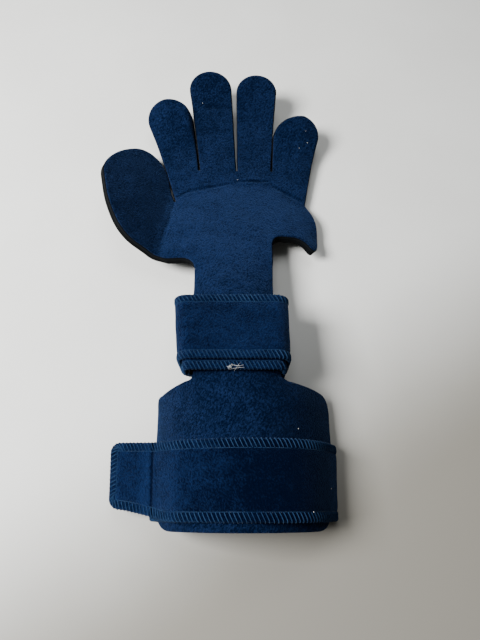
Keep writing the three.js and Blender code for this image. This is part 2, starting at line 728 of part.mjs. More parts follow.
/** The forearm strap: from its hidden end over the left side, under the trough, over it and out as a tab. */
function forearmStrap() {
  const centreZ = crownHeight - TROUGH_RADIUS;
  const inner = TROUGH_RADIUS + faceTop + STRAP_CLEARANCE + STRAP_THICKNESS / 2;
  const outer = inner + STRAP_THICKNESS + STRAP_CLEARANCE;
  const cornerRise = STRAP_THICKNESS / 2 + STRAP_CORNER_RADIUS - centreZ;
  const cornerAngle = Math.acos(cornerRise / (inner - STRAP_CORNER_RADIUS));
  const bottom = 2 * (inner - STRAP_CORNER_RADIUS) * Math.sin(cornerAngle);
  const endAngle = cornerAngle - FOREARM_STRAP_OVERLAP / inner;
  const polar = (angle, radius) => ({
    x: radius * Math.sin(angle),
    z: centreZ + radius * Math.cos(angle),
    nx: Math.sin(angle),
    nz: Math.cos(angle),
  });
  // The walk turns left all the way round, so its normal points out once it is flipped
  const stations = [];
  for (let i = 0; i <= ARC_STEPS; i += 1) {
    stations.push(polar(-THREE.MathUtils.lerp(endAngle, cornerAngle, i / ARC_STEPS), inner));
  }
  const lowerLeft = new StrapWalk(stations.at(-1).x, stations.at(-1).z, Math.PI + cornerAngle);
  const cornerTurn = Math.PI - cornerAngle;
  lowerLeft.go(STRAP_CORNER_RADIUS * cornerTurn, cornerTurn, CORNER_STEPS);
  lowerLeft.go(bottom, 0, CORNER_STEPS);
  lowerLeft.go(STRAP_CORNER_RADIUS * cornerTurn, cornerTurn, CORNER_STEPS);
  for (const { x, z, nx, nz } of lowerLeft.stations.slice(1)) {
    stations.push({ x, z, nx: -nx, nz: -nz });
  }
  const leave = radians(TAB_LEAVES);
  const overSteps = ARC_STEPS * 2;
  for (let i = 1; i <= overSteps; i += 1) {
    const angle = THREE.MathUtils.lerp(cornerAngle, -leave, i / overSteps);
    const share = THREE.MathUtils.clamp(angle / cornerAngle, 0, 1);
    const slack = FOREARM_STRAP_SLACK * Math.sin(Math.PI * share) ** 2;
    const lift = smooth(0.5 - (endAngle + angle) / LAYER_LIFT);
    stations.push(polar(angle, THREE.MathUtils.lerp(inner + slack, outer, lift)));
  }
  const tab = new StrapWalk(stations.at(-1).x, stations.at(-1).z, Math.PI + leave);
  tab.go(TAB_BEND, radians(TAB_SLOPE) - leave, TAB_STEPS);
  tab.go(TAB_LENGTH - TAB_BEND - TAB_CORNER, 0, TAB_STEPS);
  tab.go(TAB_CORNER, 0, TAB_STEPS);
  for (const { x, z, nx, nz } of tab.stations.slice(1)) {
    stations.push({ x, z, nx: -nx, nz: -nz });
  }
  const tabStart = stations.length - tab.stations.length - TAPER_STEPS;
  const taperEnd = stations.length - 1;
  return withEdges(stations, (i) => {
    const share = smooth((i - tabStart) / (taperEnd - tabStart));
    const intoCorner = THREE.MathUtils.clamp((i - taperEnd) / TAB_STEPS + 1, 0, 1);
    const inset = TAB_CORNER * (1 - Math.sqrt(1 - (intoCorner * TAB_CORNER_SHARE) ** 2));
    const half = THREE.MathUtils.lerp(STRAP_WIDTH, TAB_TIP_WIDTH, share) / 2 - inset;
    const place = FOREARM_STRAP_PLACE + TAB_TIP_SHIFT * share;
    return { from: place - half, to: place + half };
  });
}

/** A point on the fabric's face, at a share of the neck's half width and at v. */
function neckFace(share, v) {
  const { point, normal } = bodyFrame(share * halfNeck, v);
  return point.addScaledVector(normal, faceTop);
}

/** The middles of the wrist strap's corners, for an inner winding at a height over the neck. */
function wristLoop(height) {
  const pitch = STRAP_THICKNESS + STRAP_CLEARANCE;
  return {
    pitch,
    side: halfNeck + WRIST_LOOP_ROOM + STRAP_THICKNESS / 2 - WRIST_CORNER,
    low: pitch + STRAP_THICKNESS / 2 + WRIST_CORNER,
    high: height + STRAP_THICKNESS / 2 - WRIST_CORNER,
  };
}

/** How much wider the wrist strap is past its middle. */
const widerAt = (past) => 1 + WRIST_TAPER * past / STRAP_WIDTH;

/** The least height at which the wrist strap's loop clears the neck, and how it gets lower to the hand. */
function wristSeat() {
  const from = wristPlace - STRAP_WIDTH / 2 - WRIST_STRAP_STEP;
  const to = wristPlace + STRAP_WIDTH / 2;
  const slope = (neckFace(0, to).z - neckFace(0, from).z) / (to - from);
  const shift = shiftAt(wristPlace) + WRIST_LOOP_SHIFT;
  const seat = { middle: spine.at(wristPlace).x, height: neckFace(0, wristPlace).z, slope, shift };
  const face = FACE_SHARES.flatMap((share) => {
    const rows = [];
    for (let v = from; v <= to; v += FACE_STEP) rows.push(neckFace(share, v));
    return rows;
  });
  const isClear = () => face.every((p) => {
    const { side, high } = wristLoop(seat.height);
    const past = p.y - seat.middle;
    const z = p.z / (1 + seat.slope * past / seat.height);
    const x = (p.x - shift + WRIST_LEAN * past) / widerAt(past);
    const across = Math.max(0, Math.abs(x) - side);
    return Math.hypot(across, Math.max(0, z - high)) < WRIST_CORNER - STRAP_THICKNESS / 2 - STRAP_CLEARANCE;
  });
  for (let i = 0; i < SEAT_TRIES && !isClear(); i += 1) seat.height += SEAT_STEP;
  return seat;
}

/** The wrist strap: wound over the neck and under it a little more than twice, with rounded corners. */
function wristStrap(seat) {
  const { pitch, side, low, high } = wristLoop(seat.height);
  const stations = [];
  const add = (x, z, angle, radius, step) => {
    const nx = Math.cos(angle);
    const nz = Math.sin(angle);
    stations.push({ x: seat.shift + x + nx * radius, z: z + nz * radius, nx, nz, step });
  };
  const straight = (from, to, angle, radius, step, count) => {
    for (let i = 0; i <= count; i += 1) {
      const t = i / count;
      const x = THREE.MathUtils.lerp(from[0], to[0], t);
      const z = THREE.MathUtils.lerp(from[1], to[1], t);
      add(x, z, angle, radius(t), step(t));
    }
  };
  const corner = (x, z, fromAngle, radius, step) => {
    for (let i = 1; i < CORNER_STEPS; i += 1) {
      add(x, z, fromAngle - Math.PI / 2 * i / CORNER_STEPS, radius, step(i / CORNER_STEPS));
    }
  };
  const inner = () => WRIST_CORNER;
  const outer = () => WRIST_CORNER + pitch;
  const lifted = (t) => WRIST_CORNER + pitch * smooth((t - WRIST_LIFT_FROM) / WRIST_LIFT);
  const level = () => 0;
  const stepped = () => 1;
  // The inner winding steps towards the forearm as it comes up beside the neck
  const cornerLength = WRIST_CORNER * Math.PI / 2;
  const stepping = (from, length) => (t) => smooth((from + t * length) / WRIST_STEP_LENGTH);
  const over = (radius, up, turn, across, down) => {
    corner(-side, low, 1.5 * Math.PI, radius(), level);
    straight([-side, low], [-side, high], Math.PI, radius, up, SIDE_STEPS);
    corner(-side, high, Math.PI, radius(), turn);
    straight([-side, high], [side, high], Math.PI / 2, radius, across, ARC_STEPS);
    corner(side, high, Math.PI / 2, radius(), down);
    straight([side, high], [side, low], 0, radius, down, SIDE_STEPS);
    corner(side, low, 0, radius(), down);
  };
  straight([-side * WRIST_START, low], [-side, low], 1.5 * Math.PI, inner, level, 2);
  const rise = high - low;
  over(
    inner,
    stepping(0, rise),
    stepping(rise, cornerLength),
    stepping(rise + cornerLength, 2 * side),
    stepped,
  );
  const steppingBack = (t) => 1 - smooth(t / WRIST_STEP_BACK);
  straight([side, low], [-side, low], 1.5 * Math.PI, lifted, steppingBack, ARC_STEPS);
  over(outer, level, level, level, level);
  straight([side, low], [side * WRIST_END, low], 1.5 * Math.PI, outer, level, 2);
  return stations.map(({ step, ...station }) => ({
    ...station,
    from: seat.middle - STRAP_WIDTH / 2 - step * WRIST_STRAP_STEP,
    to: seat.middle + STRAP_WIDTH / 2 - step * WRIST_STRAP_STEP,
  }));
}

/** The forearm strap is narrower at the forearm's end, as the trough is. */
function narrowerToEnd({ x, y, z }) {
  const share = (FOREARM_STRAP_PLACE + STRAP_WIDTH / 2 - y) / STRAP_WIDTH;
  return new THREE.Vector3(x * (1 - FOREARM_STRAP_TAPER * share), y, z);
}

/** A named mesh with its own finish. */
function addPiece(group, name, geometry, color, roughness) {
  const mesh = new THREE.Mesh(geometry, new THREE.MeshStandardMaterial({ color, roughness, metalness: 0 }));
  mesh.name = name;
  group.add(mesh);
}

const sheet = sheetMesh();
settleHand(sheet);
const seat = wristSeat();
// The wrist strap gets lower and wider to the hand, and leans over to the thumb's side
const lowerToHand = ({ x, y, z }) => {
  const past = y - seat.middle;
  const across = seat.shift + (x - seat.shift) * widerAt(past) - WRIST_LEAN * past;
  return new THREE.Vector3(across, y, z * (1 + seat.slope * past / seat.height));
};

const group = new THREE.Group();
addPiece(group, 'foam_core', sheetLayer(sheet, -FOAM_THICKNESS, 0), 0x15181d, 0.95);
addPiece(group, 'face_fabric', sheetLayer(sheet, LAYER_GAP, faceTop), 0x12304f, 0.9);
addPiece(group, 'forearm_strap', bandGeometry(forearmStrap().reverse(), narrowerToEnd), 0x0f2b49, 0.9);
addPiece(group, 'wrist_strap', bandGeometry(wristStrap(seat), lowerToHand), 0x0f2b49, 0.9);

// The origin lies under the middle of the splint, on the surface it rests on
const box = new THREE.Box3().setFromObject(group);
const middle = box.getCenter(new THREE.Vector3());
group.position.set(-middle.x, -middle.y, -box.min.z);
group.updateMatrixWorld(true);

export default group;
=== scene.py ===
"""Looks for the resting hand splint: its bent sheet, straps, stitches, floor, lights and camera.

The sheet is one flat pattern, u across it and v along it from the forearm end, that is bent into shape.
Patterns are in millimetres, and a mesh is turned into metres as it is made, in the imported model's frame.
"""

import logging
import math
from collections.abc import Callable
from dataclasses import dataclass
from enum import Enum
from typing import ClassVar

import bpy
import numpy as np
from mathutils import Euler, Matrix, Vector
from mathutils.geometry import delaunay_2d_cdt

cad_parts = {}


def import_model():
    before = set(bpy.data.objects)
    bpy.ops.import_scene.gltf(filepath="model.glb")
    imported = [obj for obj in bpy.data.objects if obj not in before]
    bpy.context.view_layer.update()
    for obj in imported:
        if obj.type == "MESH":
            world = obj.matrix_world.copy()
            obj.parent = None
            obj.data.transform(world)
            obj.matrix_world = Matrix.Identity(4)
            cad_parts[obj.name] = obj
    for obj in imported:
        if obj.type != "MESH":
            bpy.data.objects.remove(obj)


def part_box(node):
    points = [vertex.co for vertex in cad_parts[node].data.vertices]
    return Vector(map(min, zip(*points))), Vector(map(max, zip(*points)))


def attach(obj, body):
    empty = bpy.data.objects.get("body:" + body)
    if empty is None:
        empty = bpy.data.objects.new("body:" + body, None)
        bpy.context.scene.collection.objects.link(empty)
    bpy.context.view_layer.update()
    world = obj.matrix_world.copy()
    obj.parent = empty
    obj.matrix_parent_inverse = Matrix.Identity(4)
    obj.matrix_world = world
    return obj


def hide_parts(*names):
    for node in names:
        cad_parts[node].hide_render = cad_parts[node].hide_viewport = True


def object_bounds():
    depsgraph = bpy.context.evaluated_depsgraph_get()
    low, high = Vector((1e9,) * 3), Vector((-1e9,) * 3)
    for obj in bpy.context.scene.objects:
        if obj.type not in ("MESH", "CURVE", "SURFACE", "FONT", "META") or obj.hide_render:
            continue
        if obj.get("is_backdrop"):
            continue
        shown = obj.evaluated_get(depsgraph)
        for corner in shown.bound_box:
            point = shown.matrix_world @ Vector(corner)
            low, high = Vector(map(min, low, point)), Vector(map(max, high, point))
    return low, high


Array = np.ndarray
Random = np.random.Generator
MM = 0.001
SEED = 7
TINY = 1e-9
LOG = logging.getLogger("splint")


@dataclass(frozen=True)
class Bend:
    """One smooth bend along a line: where its middle is, how far it turns in degrees and how long it is."""

    place: float
    angle: float
    length: float


@dataclass(frozen=True)
class Digit:
    """A finger's pad, as shares: its end across the palm, its reach, its width and where its tip folds."""

    across: float
    reach: float
    width: float
    fold: float


@dataclass(frozen=True)
class SheetSizes:
    """Sizes of the splint's sheet."""

    foam_thickness: float = 6.2
    fabric_thickness: float = 1.0
    layer_gap: float = 0.3

    forearm_length: float = 95.0
    forearm_arc: float = 159.0
    trough_radius: float = 70.0
    end_arc: float = 155.0
    end_radius: float = 66.0
    end_length: float = 60.0
    end_corner: float = 25.0
    shoulder_corner: float = 11.0
    shoulder_rise: float = 3.0
    thumb_shoulder_drop: float = 2.4
    thumb_shoulder_rise: float = 6.2

    neck_length: float = 111.0
    neck_width: float = 62.5
    neck_fillet: float = 8.0
    neck_radius: float = 80.0
    neck_shift: float = -7.7
    trough_ends: float = -5.0
    neck_arch_ends: float = -30.0
    palm_arch_starts: float = 10.0
    shift_starts: float = -15.0
    shift_ends: float = 24.0

    palm_length: float = 85.0
    palm_width: float = 116.0
    palm_radius: float = 400.0
    heel_rise: float = 13.0
    heel_fillet: float = 15.0
    heel_corner_in: float = 2.0
    heel_corner_up: float = 1.5
    heel_slant: float = 0.5

    notch_height: float = 23.0
    notch_fillet: float = 13.0
    notch_reach: float = 9.75
    flap_reach: float = 42.5
    flap_lip: float = 24.0
    flap_drop: float = 8.5
    flap_toe: float = 3.0
    flap_toe_rise: float = 6.0
    flap_top: float = 64.0
    flap_taper: float = 18.0
    flap_curl: float = 26.0
    flap_curl_width: float = 26.0
    flap_curl_fade_in: float = 20.0
    flap_curl_fade_out: float = 26.0
    flap_curl_ends: float = -12.0

    finger_length: float = 114.0
    finger_width: float = 34.0
    web_reach: float = 16.0
    web_gap: float = 2.0
    web_blend: float = 4.0
    little_root: float = -21.0
    little_out: float = 4.5

    thumb_length: float = 102.5
    thumb_width: float = 68.2
    thumb_fold: float = 44.0
    thumb_fold_width: float = 9.0
    thumb_crotch: float = -17.0
    thumb_crotch_in: float = 5.0
    thumb_heel_out: float = 3.0
    thumb_heel_up: float = 3.0
    thumb_slit_lean: float = 3.0

    crease_top: float = 0.155
    crease_fall_thumb: float = 16.0
    crease_fall_little: float = 20.0

    wrist_bend: Bend = Bend(17.0, -9.0, 60.0)
    heel_bend: Bend = Bend(-34.0, 0.0, 40.0)
    knuckle_fold: Bend = Bend(4.0, 19.0, 8.0)
    finger_curl: Bend = Bend(0.39, 8.0, 50.0)
    tip_fold: Bend = Bend(0.0, 13.0, 18.0)

    digits: tuple = (
        Digit(0.458, 0.586, 1.1, 0.42),
        Digit(0.158, 0.966, 0.95, 0.58),
        Digit(-0.176, 1.01, 1.01, 0.73),
        Digit(-0.477, 0.745, 1.07, 0.51),
    )
    webs: tuple = (0.288, 0.017, -0.272)

    # Along the thumb's fold and away from it, as shares of the thumb's length and width
    thumb_outline: tuple = (
        (0.79, 0.126), (0.9, 0.196), (1.0, 0.322), (1.05, 0.5), (1.02, 0.68), (0.9, 0.85), (0.75, 0.96),
        (0.61, 0.99), (0.48, 0.92), (0.31, 0.79), (0.15, 0.6), (0.065, 0.4), (0.035, 0.17),
    )

    @property
    def shoulder(self) -> float:
        """Where the forearm ends and the neck starts."""
        return self.forearm_length

    @property
    def heel(self) -> float:
        """Where the neck ends and the hand starts."""
        return self.shoulder + self.neck_length

    @property
    def crease(self) -> float:
        """The knuckle crease's highest place."""
        return self.heel + self.palm_length

    @property
    def web_line(self) -> float:
        """The foot of the slits between the fingers."""
        return self.crease + self.web_reach

    @property
    def half_forearm(self) -> float:
        """Half the forearm's arc."""
        return self.forearm_arc / 2

    @property
    def half_end(self) -> float:
        """Half the arc at the open end."""
        return self.end_arc / 2

    @property
    def half_neck(self) -> float:
        """Half the neck's width."""
        return self.neck_width / 2

    @property
    def half_palm(self) -> float:
        """Half the palm's width."""
        return self.palm_width / 2

    @property
    def face_top(self) -> float:
        """Height of the fabric's face over the foam's."""
        return self.layer_gap + self.fabric_thickness


@dataclass(frozen=True)
class StrapSizes:
    """Sizes of both straps."""

    width: float = 50.8
    thickness: float = 3.0
    clearance: float = 0.4
    forearm_place: float = 31.6
    forearm_overlap: float = 46.0
    forearm_slack: float = 3.5
    corner_radius: float = 4.5
    layer_lift: float = 0.32
    tab_leaves: float = 48.0
    forearm_taper: float = 0.032
    tab_length: float = 43.0
    tab_slope: float = 18.0
    tab_bend: float = 14.0
    tab_tip_width: float = 44.5
    tab_tip_shift: float = 4.6
    tab_corner: float = 7.0
    wrist_loop_room: float = 3.9
    wrist_loop_shift: float = -0.35
    wrist_corner: float = 6.0
    wrist_lean: float = 0.046
    wrist_taper: float = 0.064
    wrist_drop: float = 2.6
    wrist_step: float = 7.2
    wrist_step_length: float = 24.0
    wrist_start: float = 0.6
    wrist_end: float = 0.3
    wrist_step_back: float = 0.8
    wrist_lift_from: float = 0.45
    wrist_lift: float = 0.3


def smooth(t: Array | float) -> Array:
    """Smooth step from 0 to 1."""
    t = np.clip(t, 0.0, 1.0)
    return t * t * (3 - 2 * t)


def blend(v: Array | float, stops: list[tuple]) -> Array:
    """Smooth steps from each stop's value to the next one's.

    Args:
        v: Places along the sheet.
        stops: A place and the value there, in order.

    Returns:
        The value at each place.
    """
    value = np.full(np.shape(v), stops[0][1], float)
    for (start, before), (end, after) in zip(stops, stops[1:]):
        value = value + (after - before) * smooth((v - start) / (end - start))
    return value


class Outline:
    """A path of lines and curves in the plane, kept as one run of points for each of them."""

    FINE = 160
    THROUGH = 24
    SHORTEST = 0.01

    def __init__(self, start: tuple) -> None:
        """Starts the path at a point."""
        self.here = np.array(start, float)
        self.runs = []

    def _add(self, points: Array) -> None:
        """Adds a run of points and moves to its end."""
        self.runs.append(points)
        self.here = points[-1]

    def line(self, *point: float) -> None:
        """Straight on to a point."""
        self._add(np.array([self.here, point], float))

    def curve(self, *points: tuple) -> None:
        """Along a Bezier curve: neighbouring points are blended by t until one is left.

        Args:
            points: The curve's points after the present place. It ends at the last.
        """
        t = np.linspace(0, 1, self.FINE)[:, None]
        levels = [np.array(p, float) + 0 * t for p in (self.here, *points)]
        while len(levels) > 1:
            levels = [a + (b - a) * t for a, b in zip(levels, levels[1:])]
        self._add(levels[0])

    def arc(self, centre: Array, radius: float, start: float, end: float) -> None:
        """Counterclockwise round a circle, from one angle to another."""
        angle = np.linspace(start, end + (2 * np.pi if end < start else 0), self.FINE)
        self._add(centre + radius * np.stack([np.cos(angle), np.sin(angle)], -1))

    def through(self, points: Array) -> None:
        """Smoothly through points: a cubic between each two, heading there as its neighbours' line does.

        Args:
            points: The points after the present place.
        """
        p = np.vstack([self.here, points])
        p = np.vstack([p[0], p, p[-1]])
        t = np.linspace(0, 1, self.THROUGH, endpoint=False)[:, None]
        runs = []
        for p0, p1, p2, p3 in zip(p, p[1:], p[2:], p[3:]):
            v0, v1 = (p2 - p0) / 2, (p3 - p1) / 2
            runs.append((2 * (p1 - p2) + v0 + v1) * t**3 + (3 * (p2 - p1) - 2 * v0 - v1) * t**2 + v0 * t + p1)
        self._add(np.vstack([*runs, p[-1:]]))

    def points(self, step: float) -> Array:
        """Points at even distances along each run.

        Args:
            step: The distance between them.

        Returns:
            The points, with one at each corner.
        """
        out = []
        for run in self.runs:
            lengths = np.linalg.norm(np.diff(run, axis=0), axis=1)
            along = np.concatenate([[0], np.cumsum(lengths)])
            if along[-1] < self.SHORTEST:
                continue
            count = int(np.ceil(along[-1] / step))
            at = np.linspace(0, along[-1], count, endpoint=False)
            out.append(np.stack([np.interp(at, along, run[:, k]) for k in (0, 1)], -1))
        return np.vstack(out)


def tangent_point(start: Array, centre: Array, radius: float, side: int) -> Array:
    """Where a line touches a circle: the arc cosine of radius over distance away from the line's start.

    Args:
        start: The point that the line comes from.
        centre: The circle's middle.
        radius: The circle's radius.
        side: 1 for the circle's left and -1 for its right.

    Returns:
        The point of touch.
    """
    away = np.asarray(start, float) - centre
    angle = math.atan2(away[1], away[0]) + side * math.acos(radius / np.hypot(*away))
    return centre + radius * np.array([math.cos(angle), math.sin(angle)])


def outward_normals(points: Array) -> Array:
    """Mean direction of both neighbouring edges, turned a quarter to the right.

    Args:
        points: A closed counterclockwise outline.

    Returns:
        A normal out of the outline at each point, shorter at sharp corners.
    """
    ahead = np.roll(points, -1, 0) - points
    behind = points - np.roll(points, 1, 0)
    unit = [d / np.maximum(np.linalg.norm(d, axis=1), TINY)[:, None] for d in (ahead, behind)]
    mean = unit[0] + unit[1]
    mean = mean / np.maximum(np.linalg.norm(mean, axis=1), 0.3)[:, None]
    return np.stack([mean[:, 1], -mean[:, 0]], -1)


def turned(bends: list[Bend], s: Array) -> Array:
    """How far a run of bends has turned at places along it."""
    return sum(math.radians(b.angle) * smooth((s - b.place) / b.length + 0.5) for b in bends)


class BentLine:
    """A straight line bent in its plane: its heading and its place at each distance along it."""

    STEP = 0.5

    def __init__(self, bends: list[Bend], start: float, end: float) -> None:
        """Adds up short steps, each along the heading there.

        Args:
            bends: The bends along the line.
            start: Where the line starts.
            end: Where it ends.
        """
        self.s = np.arange(start, end + self.STEP, self.STEP)
        self.angle = turned(bends, self.s)
        self.x = start + np.concatenate([[0], np.cumsum(np.cos(self.angle) * self.STEP)[:-1]])
        self.y = np.concatenate([[0], np.cumsum(np.sin(self.angle) * self.STEP)[:-1]])

    def at(self, s: Array) -> Array:
        """Heading, place along and height at distances s, as three arrays."""
        return np.array([np.interp(s, self.s, values) for values in (self.angle, self.x, self.y)])


class BentSheet:
    """The splint's flat pattern and the shape that it is bent into."""

    ARCH_SAMPLES = 24
    FINGER_SAMPLES = 40
    HEEL_ANGLES = (-40.0, 20.0)
    SETTLE_STEP = 4
    SETTLE_TRIES = 24
    THUMB_REACH = 1.5

    def __init__(self, sizes: SheetSizes, straps: StrapSizes) -> None:
        """Works out the pattern's fixed places and lays the bent sheet on the table.

        Args:
            sizes: The sheet's sizes.
            straps: The straps' sizes, which the trough stands on.
        """
        self.z = sizes
        edge = -sizes.half_palm
        self.thumb_start = np.array([edge - sizes.thumb_heel_out, sizes.heel + sizes.thumb_heel_up])
        self.crotch = np.array([edge + sizes.thumb_crotch_in, sizes.crease + sizes.thumb_crotch])
        fold = self.crotch - self.thumb_start
        self.fold_length = float(np.hypot(*fold))
        self.thumb_along = fold / self.fold_length
        self.thumb_away = np.array([-self.thumb_along[1], self.thumb_along[0]])
        self.ends = [self._pad_end(d) for d in sizes.digits]
        edge = tangent_point(self.crotch, self.ends[-1][0], self.ends[-1][1], -1) - self.crotch
        self.slit_lean = math.atan2(-edge[0], edge[1]) + math.radians(sizes.thumb_slit_lean)
        self.slits = [self._slit(i) for i in range(len(sizes.webs))]
        self.finger_bends = [self._finger_bends(d) for d in sizes.digits]
        thumb = Bend(sizes.thumb_fold_width / 2, sizes.thumb_fold, sizes.thumb_fold_width)
        self.thumb_line = BentLine([thumb], 0, sizes.thumb_width * self.THUMB_REACH)
        angle = sizes.half_forearm / sizes.trough_radius
        inside = sizes.trough_radius - sizes.foam_thickness
        seat = straps.thickness + straps.clearance
        self.crown = seat + sizes.trough_radius - inside * math.cos(angle)
        self.spine = None
        self.settle()

    def _pad_end(self, digit: Digit) -> tuple[Array, float]:
        """The middle and the radius of a finger pad's round end."""
        radius = digit.width * self.z.finger_width / 2
        v = self.z.crease + digit.reach * self.z.finger_length - radius
        return np.array([digit.across * self.z.palm_width, v]), radius

    def _slit(self, i: int) -> tuple[float, float]:
        """The slit between two fingers, whose upper end lies midway between their pads.

        Args:
            i: Its number, from the little finger.

        Returns:
            The place of its foot across the palm and how far it leans.
        """
        (right, right_radius), (left, left_radius) = self.ends[i], self.ends[i + 1]
        foot = self.z.webs[i] * self.z.palm_width
        top = (right[0] - right_radius + left[0] + left_radius) / 2
        return foot, (top - foot) / (min(right[1], left[1]) - self.z.web_line)

    def _finger_bends(self, digit: Digit) -> list[Bend]:
        """The bends along a finger: its curl and the fold of its tip."""
        z = self.z
        reach = digit.reach * z.finger_length
        return [
            Bend(z.crease + z.finger_curl.place * reach, z.finger_curl.angle, z.finger_curl.length),
            Bend(z.crease + digit.fold * reach, z.tip_fold.angle, z.tip_fold.length),
        ]

    def thumb_point(self, along: Array, away: Array) -> Array:
        """Flat points at places along the thumb's fold and away from it."""
        across = np.multiply.outer(away, self.thumb_away)
        return self.thumb_start + np.multiply.outer(along, self.thumb_along) + across

    def outline(self, step: float) -> Array:
        """The flat outline, from the middle of the open end counterclockwise.

        Args:
            step: The distance between its points.

        Returns:
            Its points.
        """
        z = self.z
        notch, edge = z.heel + z.notch_height, z.half_neck + z.flap_reach
        toe = notch - z.flap_drop
        path = Outline((0, 0))
        path.line(z.half_end - z.end_corner, 0)
        path.curve((z.half_end, 0), (z.half_end, z.end_corner))
        path.line(z.half_forearm, z.shoulder - z.shoulder_corner)
        path.curve((z.half_forearm, z.shoulder), (z.half_forearm - z.shoulder_corner, z.shoulder))
        rise = z.shoulder + z.shoulder_rise
        path.line(z.half_neck + z.neck_fillet, rise)
        path.curve((z.half_neck, rise), (z.half_neck, rise + z.neck_fillet))
        path.line(z.half_neck, notch - z.notch_fillet)
        path.curve((z.half_neck, notch), (z.half_neck + z.notch_reach, notch))
        path.line(edge - z.flap_lip, notch)
        path.curve((edge - z.flap_lip * 2 / 3, notch), (edge - z.flap_lip / 3, toe))
        path.curve((edge - z.flap_toe, toe - z.flap_toe), (edge - z.flap_toe / 2, toe + z.flap_toe_rise))
        path.curve(
            (edge, notch + z.flap_toe_rise),
            (edge, z.heel + z.flap_top - z.flap_taper),
            (z.half_palm + z.little_out, z.heel + z.flap_top),
        )
        self._add_fingers(path)
        path.line(self.crotch[0] - z.web_gap / 2, self.crotch[1])
        shares = np.array(z.thumb_outline)
        path.through(self.thumb_point(shares[:, 0] * z.thumb_length, shares[:, 1] * z.thumb_width))
        path.line(-z.half_palm + z.heel_corner_in, z.heel + z.heel_corner_up)
        path.line(-z.half_neck - z.heel_fillet, z.heel + z.heel_slant)
        path.curve((-z.half_neck, z.heel), (-z.half_neck, z.heel - z.heel_rise))
        shoulder = z.shoulder - z.thumb_shoulder_drop
        rise = shoulder + z.thumb_shoulder_rise
        path.line(-z.half_neck, rise + z.neck_fillet)
        path.curve((-z.half_neck, rise), (-z.half_neck - z.neck_fillet, rise))
        path.line(-z.half_forearm + z.shoulder_corner, shoulder)
        path.curve((-z.half_forearm, shoulder), (-z.half_forearm, shoulder - z.shoulder_corner))
        path.line(-z.half_end, z.end_corner)
        path.curve((-z.half_end, 0), (-z.half_end + z.end_corner, 0))
        path.line(0, 0)
        return path.points(step)

    def _add_fingers(self, path: Outline) -> None:
        """Adds each finger: up its right side, round its tip and down its left side.

        Args:
            path: The outline so far.
        """
        z = self.z
        feet = np.array(z.webs) * z.palm_width
        right_feet = [z.half_palm + z.little_out, *(feet - z.web_gap / 2)]
        left_feet = [*(feet + z.web_gap / 2), self.crotch[0] + z.web_gap / 2]
        for i, (centre, radius) in enumerate(self.ends):
            right = np.array([right_feet[i], z.crease + z.little_root if i == 0 else z.web_line])
            left = np.array([left_feet[i], self.crotch[1] if i == len(self.ends) - 1 else z.web_line])
            start, end = tangent_point(right, centre, radius, 1), tangent_point(left, centre, radius, -1)
            path.line(*right)
            path.line(*start)
            angles = [math.atan2(*(p - centre)[::-1]) for p in (start, end)]
            path.arc(centre, radius, *angles)
            path.line(*left)

    def arch(self, v: Array) -> Array:
        """Arch across the sheet, blended from the trough through the neck to the palm.

        Args:
            v: Places along the sheet.

        Returns:
            One over the arch's radius at each place.
        """
        z = self.z
        taper = (1 / z.end_radius - 1 / z.trough_radius) * (1 - smooth(v / z.end_length))
        return taper + blend(v, [
            (z.shoulder + z.trough_ends, 1 / z.trough_radius),
            (z.heel + z.neck_arch_ends, 1 / z.neck_radius),
            (z.heel + z.palm_arch_starts, 1 / z.palm_radius),
        ])

    def shift(self, v: Array | float) -> Array:
        """How far the sheet's centre line stands to the side at v."""
        z = self.z
        return blend(v, [(z.shoulder + z.shift_starts, 0), (z.shoulder + z.shift_ends, z.neck_shift)])

    def lean(self, u: Array, v: Array) -> Array:
        """How the sheet leans across its width: its arch times the distance out, with the flap's curl added.

        Args:
            u: Places across the sheet.
            v: Places along it.

        Returns:
            The angle at each place.
        """
        z = self.z
        start = z.half_neck + z.flap_reach - z.flap_curl_width
        fade_in = smooth((v - z.heel) / z.flap_curl_fade_in + 1)
        fade_out = smooth((z.heel + z.flap_top + z.flap_curl_ends - v) / z.flap_curl_fade_out)
        curl = math.radians(z.flap_curl) * smooth((u - start) / z.flap_curl_width) * fade_in * fade_out
        return self.arch(v) * u + curl

    def body_frame(self, u: Array, v: Array) -> tuple[Array, Array, Array]:
        """The bent sheet before its digits fold: short steps from the middle out, each along its lean.

        Args:
            u: Places across the sheet.
            v: Places along it.

        Returns:
            Points, normals and headings along the sheet.
        """
        angle, x, y = self.spine.at(v)
        nought = np.zeros_like(angle)
        up = np.stack([nought, -np.sin(angle), np.cos(angle)], -1)
        along = np.stack([nought, np.cos(angle), np.sin(angle)], -1)
        across, drop = np.zeros_like(u), np.zeros_like(u)
        for i in range(self.ARCH_SAMPLES):
            lean = self.lean(u * (i + 0.5) / self.ARCH_SAMPLES, v)
            across += np.cos(lean) * u / self.ARCH_SAMPLES
            drop += np.sin(lean) * u / self.ARCH_SAMPLES
        lean = self.lean(u, v)
        points = np.stack([self.shift(v) + across, x, self.crown + y], -1) - up * drop[:, None]
        normals = up * np.cos(lean)[:, None]
        normals[:, 0] += np.sin(lean)
        return points, normals, along

    def crease_at(self, u: Array) -> Array:
        """The knuckle crease, which falls to both sides with the square of the distance.

        Args:
            u: Places across the sheet.

        Returns:
            Where the crease crosses each of them.
        """
        z = self.z
        top = z.crease_top * z.palm_width
        side = np.where(u < top, -z.half_palm - top, z.half_palm - top)
        fall = np.where(u < top, z.crease_fall_thumb, z.crease_fall_little)
        return z.crease - fall * np.minimum(1, (u - top) / side) ** 2

